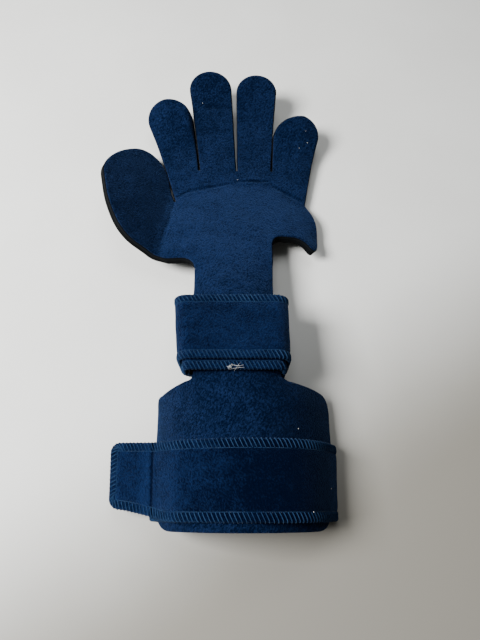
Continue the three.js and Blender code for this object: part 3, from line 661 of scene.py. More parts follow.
    def digit_shares(self, u: Array, v: Array) -> list[Array]:
        """The share of each digit's bends, blended across each slit.

        Args:
            u: Places across the sheet.
            v: Places along it.

        Returns:
            An array for each digit, from the little finger.
        """
        past = [np.ones_like(u)]
        for foot, lean in self.slits:
            place = u - foot - lean * np.maximum(0, v - self.z.web_line)
            past.append(1 - smooth(place / self.z.web_blend + 0.5))
        past.append(np.zeros_like(u))
        return [before - after for before, after in zip(past, past[1:])]

    def finger_bend(self, u: Array, v: Array, start: Array) -> Array:
        """How a finger has bent up: short steps added up along the heading that its bends give.

        Args:
            u: Places across the sheet.
            v: Places along it.
            start: Where the knuckle fold starts there.

        Returns:
            The heading, the place along and the height.
        """
        shares = self.digit_shares(u, v)
        knuckle = self.z.knuckle_fold

        def heading(s: Array) -> Array:
            """The angle that the knuckle fold and the digits' bends have turned by s."""
            angle = math.radians(knuckle.angle) * smooth((s - start - knuckle.place) / knuckle.length + 0.5)
            return angle + sum(share * turned(bends, s) for share, bends in zip(shares, self.finger_bends))

        step = (v - start) / self.FINGER_SAMPLES
        x, y = np.zeros_like(u), np.zeros_like(u)
        for i in range(self.FINGER_SAMPLES):
            angle = heading(start + (i + 0.5) * step)
            x += np.cos(angle) * step
            y += np.sin(angle) * step
        return np.array([heading(v), x, y])

    @staticmethod
    def _fold_up(points: Array, normals: Array, away: Array, bent: Array) -> tuple:
        """Turns points and normals up about an edge, by a bend's heading, place along and height."""
        angle, x, y = (part[:, None] for part in bent)
        return points + away * x + normals * y, normals * np.cos(angle) - away * np.sin(angle)

    def hand_frame(self, u: Array, v: Array) -> tuple:
        """The palm, the fingers and all below them: past the knuckle fold, the fingers' bends are added.

        Args:
            u: Places across the sheet.
            v: Places along it.

        Returns:
            Points and normals.
        """
        fold = self.crease_at(u) - self.z.knuckle_fold.length / 2
        points, normals, along = self.body_frame(u, np.minimum(v, fold))
        beyond = v > fold
        if beyond.any():
            bent = self.finger_bend(u[beyond], v[beyond], fold[beyond])
            folded = self._fold_up(points[beyond], normals[beyond], along[beyond], bent)
            points[beyond], normals[beyond] = folded
        return points, normals

    def thumb_frame(self, along: Array, away: Array) -> tuple:
        """The thumb pad, folded up about its fold, which goes straight on past its ends.

        Args:
            along: Places along the fold.
            away: Distances from it.

        Returns:
            Points and normals.
        """
        held = np.clip(along, 0, self.fold_length)
        step = BentLine.STEP
        points, normals, _ = self.body_frame(*self.thumb_point(held, 0 * held).T)
        beside = self.body_frame(*self.thumb_point(held, 0 * held + step).T)[0] - points
        ahead = self.body_frame(*self.thumb_point(held + step, 0 * held).T)[0] - points
        beside /= np.linalg.norm(beside, axis=1)[:, None]
        ahead /= np.linalg.norm(ahead, axis=1)[:, None]
        points = points + ahead * (along - held)[:, None]
        return self._fold_up(points, normals, beside, self.thumb_line.at(away))

    def is_thumb(self, flat: Array) -> Array:
        """Which flat points are the thumb: past its fold, on its side of the slit, over the heel."""
        away = (flat - self.thumb_start) @ self.thumb_away
        lean = np.array([math.cos(self.slit_lean), math.sin(self.slit_lean)])
        return (away > 0) & ((flat - self.crotch) @ lean <= 0) & (flat[:, 1] > self.z.heel)

    def bend(self, flat: Array, height: Array | float) -> Array:
        """Bends flat points.

        Args:
            flat: Flat points.
            height: Their heights over the foam's face.

        Returns:
            The bent points.
        """
        thumb = self.is_thumb(flat)
        points, normals = self.hand_frame(flat[:, 0], flat[:, 1])
        from_fold = flat[thumb] - self.thumb_start
        if len(from_fold):
            pad = self.thumb_frame(from_fold @ self.thumb_along, from_fold @ self.thumb_away)
            points[thumb], normals[thumb] = pad
        return points + normals * np.broadcast_to(height, len(flat))[:, None]

    def settle(self) -> None:
        """Bends the heel until the hand's underside comes down to the surface that the splint lies on."""
        z = self.z
        outline = self.outline(self.SETTLE_STEP)
        hand = outline[outline[:, 1] > z.heel]
        low, high = self.HEEL_ANGLES
        for _ in range(self.SETTLE_TRIES):
            middle = (low + high) / 2
            wrist = Bend(z.shoulder + z.wrist_bend.place, z.wrist_bend.angle, z.wrist_bend.length)
            heel = Bend(z.heel + z.heel_bend.place, middle, z.heel_bend.length)
            self.spine = BentLine([wrist, heel], 0, z.crease + z.finger_length)
            if self.bend(hand, -z.foam_thickness)[:, 2].min() > 0:
                high = middle
            else:
                low = middle


class MeshPiece:
    """Turns points in millimetres and faces into a named object that rides on the splint."""

    def __init__(self, offset: Array) -> None:
        """Keeps the place of the pattern's origin in the model, in metres."""
        self.offset = offset

    def make(
        self, name: str, points: Array, faces: list, material: bpy.types.Material, slot: str,
        attributes: dict | None = None,
    ) -> bpy.types.Object:
        """Makes the object.

        Args:
            name: The object's name.
            points: Array of points in millimetres, in the pattern's own frame.
            faces: Lists of point indices, facing out.
            material: Its material.
            slot: Not used.
            attributes: Arrays by name, one vector a point.

        Returns:
            The object.
        """
        mesh = bpy.data.meshes.new(name)
        placed = np.asarray(points) * MM + self.offset
        placed[:, 2] = np.maximum(placed[:, 2], 0)
        mesh.from_pydata(placed.tolist(), [], [list(f) for f in faces])
        mesh.polygons.foreach_set("use_smooth", np.ones(len(mesh.polygons), bool))
        for key, values in (attributes or {}).items():
            layer = mesh.attributes.new(key, "FLOAT_VECTOR", "POINT")
            layer.data.foreach_set("vector", np.asarray(values, np.float32).ravel())
        mesh.materials.append(material)
        mesh.update()
        piece = bpy.data.objects.new(name, mesh)
        bpy.context.scene.collection.objects.link(piece)
        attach(piece, "root")
        return piece


@dataclass(frozen=True)
class Profile:
    """A layer of the sheet: its top and bottom over the foam's face, and its edge's (inset, height) rings."""

    top: float
    bottom: float
    rings: tuple


class SheetPattern:
    """Fine triangles over the flat pattern, drawn once and bent into each of its layers."""

    SPACING = 2.3
    EDGE_STEP = 1.3
    INSET = 1.5
    EDGE_ROOM = 0.5
    CREASE_ROOM = 0.6
    CREASE_INSET = 0.8
    BATCH = 500
    SAME_POINT = 1e-5

    def __init__(self, sheet: BentSheet, creases: "Creases") -> None:
        """Fills the outline with a triangular grid, with extra points along the creases.

        Args:
            sheet: The bent sheet.
            creases: The creases in its fabric.
        """
        self.sheet = sheet
        self.rim = sheet.outline(self.EDGE_STEP)
        self.out = outward_normals(self.rim)
        inner = self.rim - self.out * self.INSET
        grid = self._grid(inner)
        grid = grid[self._distance(grid, inner) > self.SPACING * self.EDGE_ROOM]
        fine = creases.seeds()
        fine = fine[self._distance(fine, inner) > self.CREASE_INSET]
        grid = grid[self._distance(grid, fine) > self.SPACING * self.CREASE_ROOM]
        points = np.vstack([grid, fine])
        points = np.vstack([inner, points[self._inside(points, inner)]])
        verts, _, faces, origin, _, _ = delaunay_2d_cdt(
            [Vector(p) for p in points], [], [list(range(len(inner)))], 1, self.SAME_POINT,
        )
        self.flat = np.array([v[:] for v in verts])
        self.triangles = np.array([f if self._turns_left(f) else f[::-1] for f in faces])
        found = {old: new for new, olds in enumerate(origin) for old in olds}
        self.rim_index = np.array([found[i] for i in range(len(inner))])
        self.rim_distance = self._distance(self.flat, self.rim)

    def _turns_left(self, face: list) -> bool:
        """Whether a triangle of the flat pattern goes round counterclockwise."""
        a, b, c = (self.flat[i] for i in face)
        return (b[0] - a[0]) * (c[1] - a[1]) - (b[1] - a[1]) * (c[0] - a[0]) > 0

    def _grid(self, outline: Array) -> Array:
        """Rows of points over the outline's box, with every other row half a step on.

        Args:
            outline: The outline.

        Returns:
            The points.
        """
        low, high = outline.min(0), outline.max(0)
        rows = np.arange(low[1], high[1], self.SPACING * math.sqrt(3) / 2)
        columns = np.arange(low[0], high[0], self.SPACING)
        u, v = np.meshgrid(columns, rows)
        u[1::2] += self.SPACING / 2
        return np.stack([u.ravel(), v.ravel()], -1)

    @staticmethod
    def _distance(points: Array, others: Array) -> Array:
        """Distance from each point to the nearest of the others."""
        return np.concatenate([
            np.sqrt(((part[:, None] - others) ** 2).sum(-1).min(1)) if len(part) else np.zeros(0)
            for part in np.array_split(points, max(1, len(points) // SheetPattern.BATCH))
        ])

    @staticmethod
    def _inside(points: Array, outline: Array) -> Array:
        """Which points lie inside an outline: their line to the right crosses it an odd number of times.

        Args:
            points: The points.
            outline: A closed outline.

        Returns:
            True for those inside.
        """
        inside = np.zeros(len(points), bool)
        for a, b in zip(outline, np.roll(outline, -1, 0)):
            crosses = (a[1] > points[:, 1]) != (b[1] > points[:, 1])
            if not crosses.any():
                continue
            at = a[0] + (points[:, 1] - a[1]) / (b[1] - a[1]) * (b[0] - a[0])
            inside ^= crosses & (points[:, 0] < at)
        return inside

    def layer(
        self, profile: Profile, relief: Array | None = None, flare: Array | None = None,
    ) -> tuple[Array, list, Array]:
        """One closed layer of the bent sheet: its top, the rings of its edge and its bottom, each bent alike.

        Args:
            profile: The layer's heights and the rings of its edge.
            relief: Height added to each point of the top face.
            flare: How far the edge stands out past the pattern at each point of its rim.

        Returns:
            Points, faces and the flat place of each point with its height.
        """
        relief = np.zeros(len(self.flat)) if relief is None else relief
        flare = np.zeros(len(self.rim)) if flare is None else flare
        flats = [self.flat]
        heights = [profile.top + relief]
        for inset, height in profile.rings:
            flats.append(self.rim + self.out * (flare - inset)[:, None])
            lift = relief[self.rim_index] if height > (profile.top + profile.bottom) / 2 else 0
            heights.append(np.full(len(self.rim), height) + lift)
        flats.append(self.flat)
        heights.append(np.full(len(self.flat), profile.bottom))
        flat, height = np.vstack(flats), np.concatenate(heights)
        points = self.sheet.bend(flat, height)
        count, ring = len(self.flat), len(self.rim)
        below = count + ring * len(profile.rings)
        loops = [self.rim_index, *(count + ring * i + np.arange(ring) for i in range(len(profile.rings)))]
        loops.append(below + self.rim_index)
        faces = [*self.triangles.tolist(), *(self.triangles[:, ::-1] + below).tolist()]
        for upper, lower in zip(loops, loops[1:]):
            quads = np.stack([upper, lower, np.roll(lower, -1), np.roll(upper, -1)], -1)
            faces += quads.tolist()
        place = np.column_stack([flat, height])
        return points, faces, place


@dataclass(frozen=True)
class Crease:
    """A crease pressed into the fabric, through flat points, with its depth and half width."""

    points: tuple
    depth: float
    half_width: float


class Creases:
    """All the creases of the sheet, as grooves with a soft ridge on both sides."""

    SEED_STEP = 0.8
    SEED_ROWS = (-3.2, -2.2, -1.4, -0.7, 0, 0.7, 1.4, 2.2, 3.2)
    REACH = 8
    FADE = 5
    RIDGE = 0.35
    RIDGE_PLACE = 2.2

    def __init__(self, creases: tuple) -> None:
        """Keeps the creases."""
        self.creases = creases

    def _fine(self, crease: Crease) -> Array:
        """Points close together along a crease."""
        path = Outline(crease.points[0])
        path.through(np.array(crease.points[1:], float))
        return path.points(self.SEED_STEP)

    def seeds(self) -> Array:
        """Extra mesh points in rows along both sides of each crease."""
        rows = []
        for crease in self.creases:
            line = self._fine(crease)
            ahead = np.gradient(line, axis=0)
            side = np.stack([-ahead[:, 1], ahead[:, 0]], -1) / np.linalg.norm(ahead, axis=1)[:, None]
            for i, offset in enumerate(self.SEED_ROWS):
                rows.append(line[i % 2::2] + side[i % 2::2] * offset)
        return np.vstack(rows)

    def groove(self, flat: Array) -> tuple[Array, Array]:
        """The creases' depth: a bell over the distance from the line, less a low ridge on both sides.

        Args:
            flat: Flat points.

        Returns:
            The depth, and the painted shade in a crease at each point, from 0 to 1.
        """
        depth, painted_shade = np.zeros(len(flat)), np.zeros(len(flat))
        for crease in self.creases:
            line = self._fine(crease)
            box = (flat > line.min(0) - self.REACH).all(1) & (flat < line.max(0) + self.REACH).all(1)
            gaps = np.linalg.norm(flat[box][:, None] - line, axis=2)
            nearest = gaps.argmin(1)
            ends = np.minimum(nearest, len(line) - 1 - nearest) * self.SEED_STEP
            fade = smooth((ends + 1) / self.FADE)
            t = gaps.min(1) / crease.half_width
            shape = np.exp(-(t**2)) - self.RIDGE * np.exp(-((t - self.RIDGE_PLACE) ** 2))
            depth[box] += crease.depth * fade * shape
            # Painted shade in the groove, strongest along its line
            painted_shade[box] = np.maximum(painted_shade[box], fade * np.exp(-(t**2)))
        return depth, painted_shade


class StrapRoute:
    """A strap's middle line, walked in the plane across the splint, with its normal and its edges."""

    STEP = 1.0

    def __init__(self) -> None:
        """Starts an empty route."""
        self.x, self.z, self.nx, self.nz = [], [], [], []

    def add(self, x: float, z: float, nx: float, nz: float) -> None:
        """Adds one place with its normal."""
        for values, value in zip((self.x, self.z, self.nx, self.nz), (x, z, nx, nz)):
            values.append(float(value))

    def around(self, centre: tuple, start: float, end: float, radius: Callable) -> None:
        """Along an arc.

        Args:
            centre: The arc's middle.
            start: The angle that it starts at, from its top.
            end: The angle that it ends at.
            radius: Gives its radius at an angle.
        """
        mean = radius((start + end) / 2)
        count = max(2, int(abs(end - start) * mean / self.STEP))
        for angle in np.linspace(start, end, count + 1)[1 if self.x else 0:]:
            r = radius(angle)
            nx, nz = math.sin(angle), math.cos(angle)
            self.add(centre[0] + r * nx, centre[1] + r * nz, nx, nz)

    def walk(self, heading: float, length: float, turn: float = 0.0) -> float:
        """On from the last place, turning evenly, with the normal on the right.

        Args:
            heading: The heading to start with.
            length: How far.
            turn: The angle turned on the way.

        Returns:
            The new heading.
        """
        count = max(2, int(length / self.STEP))
        half = turn / count / 2
        chord = length / count * (math.sin(half) / half if half else 1)
        for _ in range(count):
            heading += half
            x, z = self.x[-1] + math.cos(heading) * chord, self.z[-1] + math.sin(heading) * chord
            heading += half
            self.add(x, z, math.sin(heading), -math.cos(heading))
        return heading

    def lengths(self) -> Array:
        """Distance along the route to each of its places."""
        steps = np.hypot(np.diff(self.x), np.diff(self.z))
        return np.concatenate([[0], np.cumsum(steps)])


class Strap:
    """A band wound along a route, with its edges pressed thin under overlock stitches."""

    # Distance in from the edge and half thickness there, as a share of the strap's
    SECTION = (
        (0.0, 0.22), (0.12, 0.5), (0.45, 0.7), (1.1, 0.8), (2.4, 0.82), (4.2, 0.8), (5.4, 0.7), (6.0, 0.62),
        (6.6, 0.74), (7.8, 0.93), (10.0, 1.0), (15.0, 1.0), (20.0, 1.0),
    )
    END_ROWS = (0.0, 0.12, 0.45, 1.1, 2.0, 3.0)
    END_ROOM = 0.5
    STITCHED = 9
    INNER_COLUMNS = 15
    LOW_RELIEF = 0.5
    EDGE_POINTS = 800
    CAP_POINTS = 40

    def __init__(self, route: StrapRoute, edges: Callable, thickness: float, shape: Callable) -> None:
        """Lays the band.

        Args:
            route: Its StrapRoute.
            edges: Gives both edges' places at distances along the route.
            thickness: The band's thickness.
            shape: Moves its points where the band isn't straight across.
        """
        self.route, self.edges, self.shape = route, edges, shape
        self.half = thickness / 2
        self.s = route.lengths()
        self.length = float(self.s[-1])

    def place(self, s: Array, w: Array, height: Array) -> Array:
        """Points on the band: the route's place moved along its normal, then shaped.

        Args:
            s: Distances along the band.
            w: Places across it.
            height: Heights over its middle.

        Returns:
            The points.
        """
        route = self.route
        x, z, nx, nz = (np.interp(s, self.s, values) for values in (route.x, route.z, route.nx, route.nz))
        size = np.hypot(nx, nz)
        return self.shape(x + nx / size * height, w, z + nz / size * height)

    def lay(self, sw: Array, height: Array) -> Array:
        """Lays threads on the band, from their (s, w) points and each point's height over its middle."""
        height = np.broadcast_to(height, sw.shape[:2])
        points = self.place(sw[..., 0].ravel(), sw[..., 1].ravel(), height.ravel())
        return points.reshape(*sw.shape[:2], 3)

    def half_thickness(self, distance: Array | float) -> Array:
        """Half thickness at a distance in from the band's edge."""
        at, share = np.array(self.SECTION).T
        return self.half * np.interp(distance, at, share)

    def mesh(self, relief: Callable) -> tuple[Array, list, Array]:
        """The band as rows along its route, each a loop over its top and back under it.

        Args:
            relief: Gives the height added at distances along and places across.

        Returns:
            Points, faces and each point's distance along, place across and side.
        """
        ends = np.array(self.END_ROWS)
        room = ends[-1] + self.END_ROOM
        middle = self.s[(self.s > room) & (self.s < self.length - room)]
        s = np.concatenate([ends, middle, self.length - ends[::-1]])
        start, end = self.edges(s)
        stitched = np.array([row[0] for row in self.SECTION if row[0] < self.STITCHED])
        inner = np.linspace(0, 1, self.INNER_COLUMNS)[1:-1]
        reach = stitched[-1]
        columns = [start + d for d in stitched]
        columns += [start + reach + (end - start - 2 * reach) * t for t in inner]
        columns += [end - d for d in stitched[::-1]]
        w = np.stack(columns, 1)
        s = np.broadcast_to(s[:, None], w.shape)
        side = np.minimum(w - start[:, None], end[:, None] - w)
        tip = np.minimum(s, self.length - s)
        half = np.minimum(self.half_thickness(side), self.half_thickness(tip))
        lift = relief(s, w)
        top = self.place(s.ravel(), w.ravel(), (half + lift).ravel())
        low = self.place(s.ravel(), w.ravel(), (lift * self.LOW_RELIEF - half).ravel())
        rows, count = w.shape
        up = np.arange(rows * count).reshape(rows, count)
        loop = np.concatenate([up, up[:, ::-1] + rows * count], 1)
        ahead = np.roll(loop, -1, 1)
        quads = np.stack([loop[:-1], ahead[:-1], ahead[1:], loop[1:]], -1).reshape(-1, 4)
        caps = []
        for row, order in ((0, 1), (rows - 1, -1)):
            a, b = up[row], up[row] + rows * count
            caps += [[a[i], b[i], b[i + 1], a[i + 1]][::order] for i in range(count - 1)]
        points = np.vstack([top, low])
        side = np.repeat([1.0, -1.0], rows * count)
        place = np.column_stack([np.tile(s.ravel(), 2), np.tile(w.ravel(), 2), side])
        faces = [*quads.tolist(), *caps]
        if self._faces_in(points, faces):
            faces = [f[::-1] for f in faces]
        return points, faces, place

    @staticmethod
    def _faces_in(points: Array, faces: list) -> bool:
        """Whether a closed mesh of quads is inside out: its volume by triple products is below nought."""
        a, b, c, d = (points[[f[k] for f in faces]] for k in range(4))
        return float((a * (np.cross(b, c) + np.cross(c, d))).sum()) < 0

    def boundary(self, step: float, capped: bool) -> list[tuple]:
        """The band's sewn edge, as one run or one for each side.

        Args:
            step: The distance between points.
            capped: Whether the sewn edge goes round the band's far end.

        Returns:
            For each run its (s, w) points, the unit vectors into the band and those ahead.
        """
        s = np.linspace(0, self.length, self.EDGE_POINTS)
        start, end = self.edges(s)
        runs = [np.stack([s, start], -1), np.stack([s, end], -1)[::-1]]
        if capped:
            across = np.linspace(start[-1], end[-1], self.CAP_POINTS)
            cap = np.stack([np.full(self.CAP_POINTS, self.length), across], -1)
            runs = [np.vstack([runs[0], cap[1:-1], runs[1]])]
        out = []
        for run in runs:
            along = np.concatenate([[0], np.cumsum(np.linalg.norm(np.diff(run, axis=0), axis=1))])
            at = np.arange(step / 2, along[-1] - step / 2, step)
            points = np.stack([np.interp(at, along, run[:, k]) for k in (0, 1)], -1)
            ahead = np.gradient(points, axis=0)
            ahead /= np.linalg.norm(ahead, axis=1)[:, None]
            inward = np.stack([-ahead[:, 1], ahead[:, 0]], -1)
            out.append((points, inward, ahead))
        return out


def tubes(paths: Array, radii: Array, sides: int = 6) -> tuple[Array, list]:
    """Round threads along paths: a ring round each point, square to the heading there.

    Args:
        paths: Array of threads, points and coordinates.
        radii: The radius at each point of a thread.
        sides: Faces round a thread.

    Returns:
        Points and faces of all the threads.
    """
    ahead = np.gradient(paths, axis=1)
    ahead /= np.maximum(np.linalg.norm(ahead, axis=2), TINY)[..., None]
    bend = np.gradient(ahead, axis=1).sum(1, keepdims=True) + 1e-4
    across = np.cross(ahead, np.broadcast_to(bend, ahead.shape))
    across /= np.maximum(np.linalg.norm(across, axis=2), TINY)[..., None]
    up = np.cross(across, ahead)
    angle = np.linspace(0, 2 * np.pi, sides, endpoint=False)
    ring = np.cos(angle)[:, None] * up[:, :, None] + np.sin(angle)[:, None] * across[:, :, None]
    points = paths[:, :, None] + ring * np.asarray(radii)[None, :, None, None]
    threads, count = paths.shape[:2]
    index = np.arange(threads * count * sides).reshape(threads, count, sides)
    here, beside = index[:, :-1], np.roll(index, -1, 2)[:, :-1]
    above, corner = index[:, 1:], np.roll(index, -1, 2)[:, 1:]
    faces = np.stack([here, beside, corner, above], -1).reshape(-1, 4)
    return points.reshape(-1, 3), faces.tolist()


@dataclass(frozen=True)
class Overlock:
    """Overlock stitches over a strap's edge."""

    # A stitch's way round the edge: its share of the depth, the strap's side and its height over the strap
    WRAP: ClassVar[tuple] = (
        (1.0, 1.0, -0.1), (0.92, 1.0, 0.2), (0.7, 1.0, 0.3), (0.45, 1.0, 0.3), (0.2, 1.0, 0.3),
        (0.03, 0.75, 0.25), (-0.03, 0.0, 0.25), (0.02, -0.75, 0.25),
        (0.2, -1.0, 0.3), (0.5, -1.0, 0.3), (0.85, -1.0, 0.2), (1.0, -1.0, -0.1),
    )

    pitch: float = 2.9
    depth: float = 6.0
    slant: float = 6.0
    radius: float = 0.36
    jitter: float = 0.1
    needle_radius: float = 0.2
    needle_rise: float = 0.2
    needle_sink: float = 0.1
    needle_points: int = 5

    def threads(self, strap: Strap, capped: bool, rng: Random) -> Array:
        """Paths of the stitches that wrap a strap's edge, each the same small path set along it.

        Args:
            strap: The strap.
            capped: Whether the stitches go round its far end.
            rng: The random numbers.

        Returns:
            An array of threads, points and coordinates.
        """
        share, side, proud = np.array(self.WRAP).T
        inward = share * self.depth
        out = []
        for points, into, ahead in strap.boundary(self.pitch, capped):
            along = np.abs(side) * share / 2 * self.slant
            jitter = rng.normal(0, self.jitter, (len(points), 1, 1))
            sw = points[:, None] + into[:, None] * inward[None, :, None]
            sw = sw + ahead[:, None] * (np.sign(side) * along)[None, :, None] + ahead[:, None] * jitter
            half = strap.half_thickness(np.maximum(inward, 0)) + proud
            out.append(strap.lay(sw, side * half))
        return np.concatenate(out)

    def chain(self, strap: Strap, capped: bool) -> Array:
        """Paths of the needle thread that holds the stitches' inner ends, one low arch a stitch.

        Args:
            strap: The strap.
            capped: Whether the thread goes round its far end.

        Returns:
            An array of threads, points and coordinates.
        """
        t = np.linspace(0, 1, self.needle_points)
        out = []
        for points, into, ahead in strap.boundary(self.pitch, capped):
            for side in (1, -1):
                forward = ahead[:, None] * (t * self.pitch)[None, :, None]
                sw = points[:, None] + into[:, None] * self.depth + forward
                rise = self.needle_rise * np.sin(np.pi * t) - self.needle_sink
                half = strap.half_thickness(self.depth) + rise
                out.append(strap.lay(sw, side * half))
        return np.concatenate(out)


def forearm_strap(sheet: BentSheet, sizes: StrapSizes) -> tuple[Strap, float]:
    """The forearm strap: from its hidden end over the left side, under the trough, over it, out as a tab.

    Args:
        sheet: The bent sheet that it goes round.
        sizes: The straps' sizes.

    Returns:
        The strap and the distance along it at which its tab starts.
    """
    z = sheet.z
    centre = (0.0, sheet.crown - z.trough_radius)
    inner = z.trough_radius + z.face_top + sizes.clearance + sizes.thickness / 2
    outer = inner + sizes.thickness + sizes.clearance
    rise = sizes.thickness / 2 + sizes.corner_radius - centre[1]
    corner = math.acos(rise / (inner - sizes.corner_radius))
    bottom = 2 * (inner - sizes.corner_radius) * math.sin(corner)
    end = corner - sizes.forearm_overlap / inner
    leave = math.radians(sizes.tab_leaves)

    def over(angle: float) -> float:
        """Radius of the upper layer: it bulges from the trough, and lifts over the strap's other end."""
        share = min(max(angle / corner, 0), 1)
        slack = sizes.forearm_slack * math.sin(math.pi * share) ** 2
        lift = float(smooth(0.5 - (end + angle) / sizes.layer_lift))
        return (inner + slack) * (1 - lift) + outer * lift

    route = StrapRoute()
    route.around(centre, -end, -corner, lambda angle: inner)
    turn = math.pi - corner
    heading = route.walk(math.pi + corner, sizes.corner_radius * turn, turn)
    heading = route.walk(heading, bottom)
    route.walk(heading, sizes.corner_radius * turn, turn)
    route.around(centre, corner, -leave, over)
    tab_place = len(route.x) - 1
    heading = route.walk(math.pi + leave, sizes.tab_bend, math.radians(sizes.tab_slope) - leave)
    route.walk(heading, sizes.tab_length - sizes.tab_bend)
    tab = route.lengths()[tab_place]

    def edges(s: Array) -> tuple[Array, Array]:
        """Both edges: parallel, then drawing together along the tab to its rounded corners."""
        past = np.asarray(s) - tab
        share = smooth((past + sizes.tab_bend) / (sizes.tab_length + sizes.tab_bend))
        into = np.clip((past - sizes.tab_length) / sizes.tab_corner + 1, 0, 1)
        inset = sizes.tab_corner * (1 - np.sqrt(1 - into**2))
        half = (sizes.width + (sizes.tab_tip_width - sizes.width) * share) / 2 - inset
        place = sizes.forearm_place + sizes.tab_tip_shift * share
        return place - half, place + half

    def narrower_to_end(x: Array, y: Array, z: Array) -> Array:
        """Draws the band in towards the trough's open end."""
        share = (sizes.forearm_place + sizes.width / 2 - y) / sizes.width
        return np.stack([x * (1 - sizes.forearm_taper * share), y, z], -1)

    return Strap(route, edges, sizes.thickness, narrower_to_end), tab


# Where the neck's face is sampled to find how high the wrist strap must lie, and how it is raised
FACE_SHARES = (-1, -0.75, -0.5, 0, 0.5, 0.75, 1)
FACE_STEP = 2.0
LIFT_TRIES = 100
LIFT_STEP = 0.1


def wrist_strap(sheet: BentSheet, sizes: StrapSizes) -> Strap:
    """The wrist strap: wound over the neck and under it a little more than twice, with rounded corners.

    Args:
        sheet: The bent sheet that it goes round.
        sizes: The straps' sizes.

    Returns:
        The strap.
    """
    z = sheet.z
    fillet_end = z.shoulder + z.shoulder_rise + z.neck_fillet
    middle_v = fillet_end - sizes.wrist_drop + sizes.wrist_step + sizes.width / 2
    pitch = sizes.thickness + sizes.clearance
    low_v, high_v = middle_v - sizes.width / 2 - sizes.wrist_step, middle_v + sizes.width / 2
    shift = float(sheet.shift(middle_v)) + sizes.wrist_loop_shift
    middle = float(sheet.spine.at(middle_v)[1])
    corner = sizes.wrist_corner
    side = z.half_neck + sizes.wrist_loop_room + sizes.thickness / 2 - corner
    low = pitch + sizes.thickness / 2 + corner

    def top(height: float) -> float:
        """Height of the upper corners' middle, for a band that lies at a height."""
        return height + sizes.thickness / 2 - corner

    v, share = np.meshgrid(np.arange(low_v, high_v, FACE_STEP), FACE_SHARES)
    face = sheet.bend(np.stack([share.ravel() * z.half_neck, v.ravel()], -1), z.face_top)
    ends = sheet.bend(np.array([[0, low_v], [0, middle_v], [0, high_v]]), z.face_top)[:, 2]
    slope = (ends[2] - ends[0]) / (high_v - low_v)
    height = float(ends[1])

    def wider(past: Array) -> Array:
        """How much wider the loop is, past its middle towards the hand."""
        return 1 + sizes.wrist_taper * past / sizes.width

    def hits(height: float) -> bool:
        """Whether the fabric's face comes too near to a band that lies at a height."""
        past = face[:, 1] - middle
        level = face[:, 2] / (1 + slope * past / height)
        x = (face[:, 0] - shift + sizes.wrist_lean * past) / wider(past)
        across = np.maximum(0, np.abs(x) - side)
        reach = np.hypot(across, np.maximum(0, level - top(height)))
        return (reach >= corner - sizes.thickness / 2 - sizes.clearance).any()

    for _ in range(LIFT_TRIES):
        if not hits(height):
            break
        height += LIFT_STEP
    high = top(height)
    route = StrapRoute()
    steps = []

    def straight(start: tuple, end: tuple, angle: float, radius: Callable, step: Callable) -> None:
        """Lays the band straight on.

        Args:
            start: Where the middle line of its corners starts.
            end: Where that line ends.
            angle: The angle of the band's normal.
            radius: Gives the band's distance from that line, by the share of the way.
            step: Gives its shift towards the forearm, by the share of the way.
        """
        length = math.hypot(end[0] - start[0], end[1] - start[1])
        nx, nz = math.cos(angle), math.sin(angle)
        for t in np.linspace(0, 1, max(2, int(length))):
            x, z = (a + (b - a) * t for a, b in zip(start, end))
            route.add(shift + x + nx * radius(t), z + nz * radius(t), nx, nz)
            steps.append(float(step(t)))

    def turn(x: float, z: float, start: float, radius: float, step: Callable) -> None:
        """Lays the band round a quarter turn.

        Args:
            x: The corner's middle across the splint.
            z: Its height.
            start: The angle of the normal to start with.
            radius: The corner's radius.
            step: Gives the band's shift towards the forearm, by the share of the way.
        """
        for t in np.linspace(0, 1, int(radius * math.pi / 2) + 4)[1:-1]:
            nx, nz = math.cos(start - math.pi / 2 * t), math.sin(start - math.pi / 2 * t)
            route.add(shift + x + nx * radius, z + nz * radius, nx, nz)
            steps.append(float(step(t)))

    def over(radius: float, up: Callable, corner_up: Callable, across: Callable, down: Callable) -> None:
        """Lays the band up the thumb side, over the neck and down the other side.

        Args:
            radius: The corners' radius.
            up: Gives the shift on the way up.
            corner_up: Gives it round the first upper corner.
            across: Gives it over the neck.
            down: Gives it on the way down.
        """
        turn(-side, low, 1.5 * math.pi, radius, level)
        straight((-side, low), (-side, high), math.pi, lambda t: radius, up)
        turn(-side, high, math.pi, radius, corner_up)
        straight((-side, high), (side, high), math.pi / 2, lambda t: radius, across)
        turn(side, high, math.pi / 2, radius, down)
        straight((side, high), (side, low), 0, lambda t: radius, down)
        turn(side, low, 0, radius, down)

    def level(_: float) -> float:
        """No shift."""
        return 0.0

    def stepping(start: float, length: float) -> Callable:
        """The shift of the under layer, which grows with the way gone since its step began."""
        return lambda t: smooth((start + t * length) / sizes.wrist_step_length)

    rise, turn_length = high - low, corner * math.pi / 2
    straight((-side * sizes.wrist_start, low), (-side, low), 1.5 * math.pi, lambda t: corner, level)
    over(
        corner, stepping(0, rise), stepping(rise, turn_length), stepping(rise + turn_length, 2 * side),
        lambda t: 1.0,
    )
    straight(
        (side, low), (-side, low), 1.5 * math.pi,
        lambda t: corner + pitch * float(smooth((t - sizes.wrist_lift_from) / sizes.wrist_lift)),
        lambda t: 1 - smooth(t / sizes.wrist_step_back),
    )
    over(corner + pitch, level, level, level, level)
    straight((side, low), (side * sizes.wrist_end, low), 1.5 * math.pi, lambda t: corner + pitch, level)
    lengths = route.lengths()

    def edges(s: Array) -> tuple[Array, Array]:
        """Both edges, a step nearer the forearm in the under layer."""
        step = np.interp(s, lengths, steps) * sizes.wrist_step
        return middle - sizes.width / 2 - step, middle + sizes.width / 2 - step

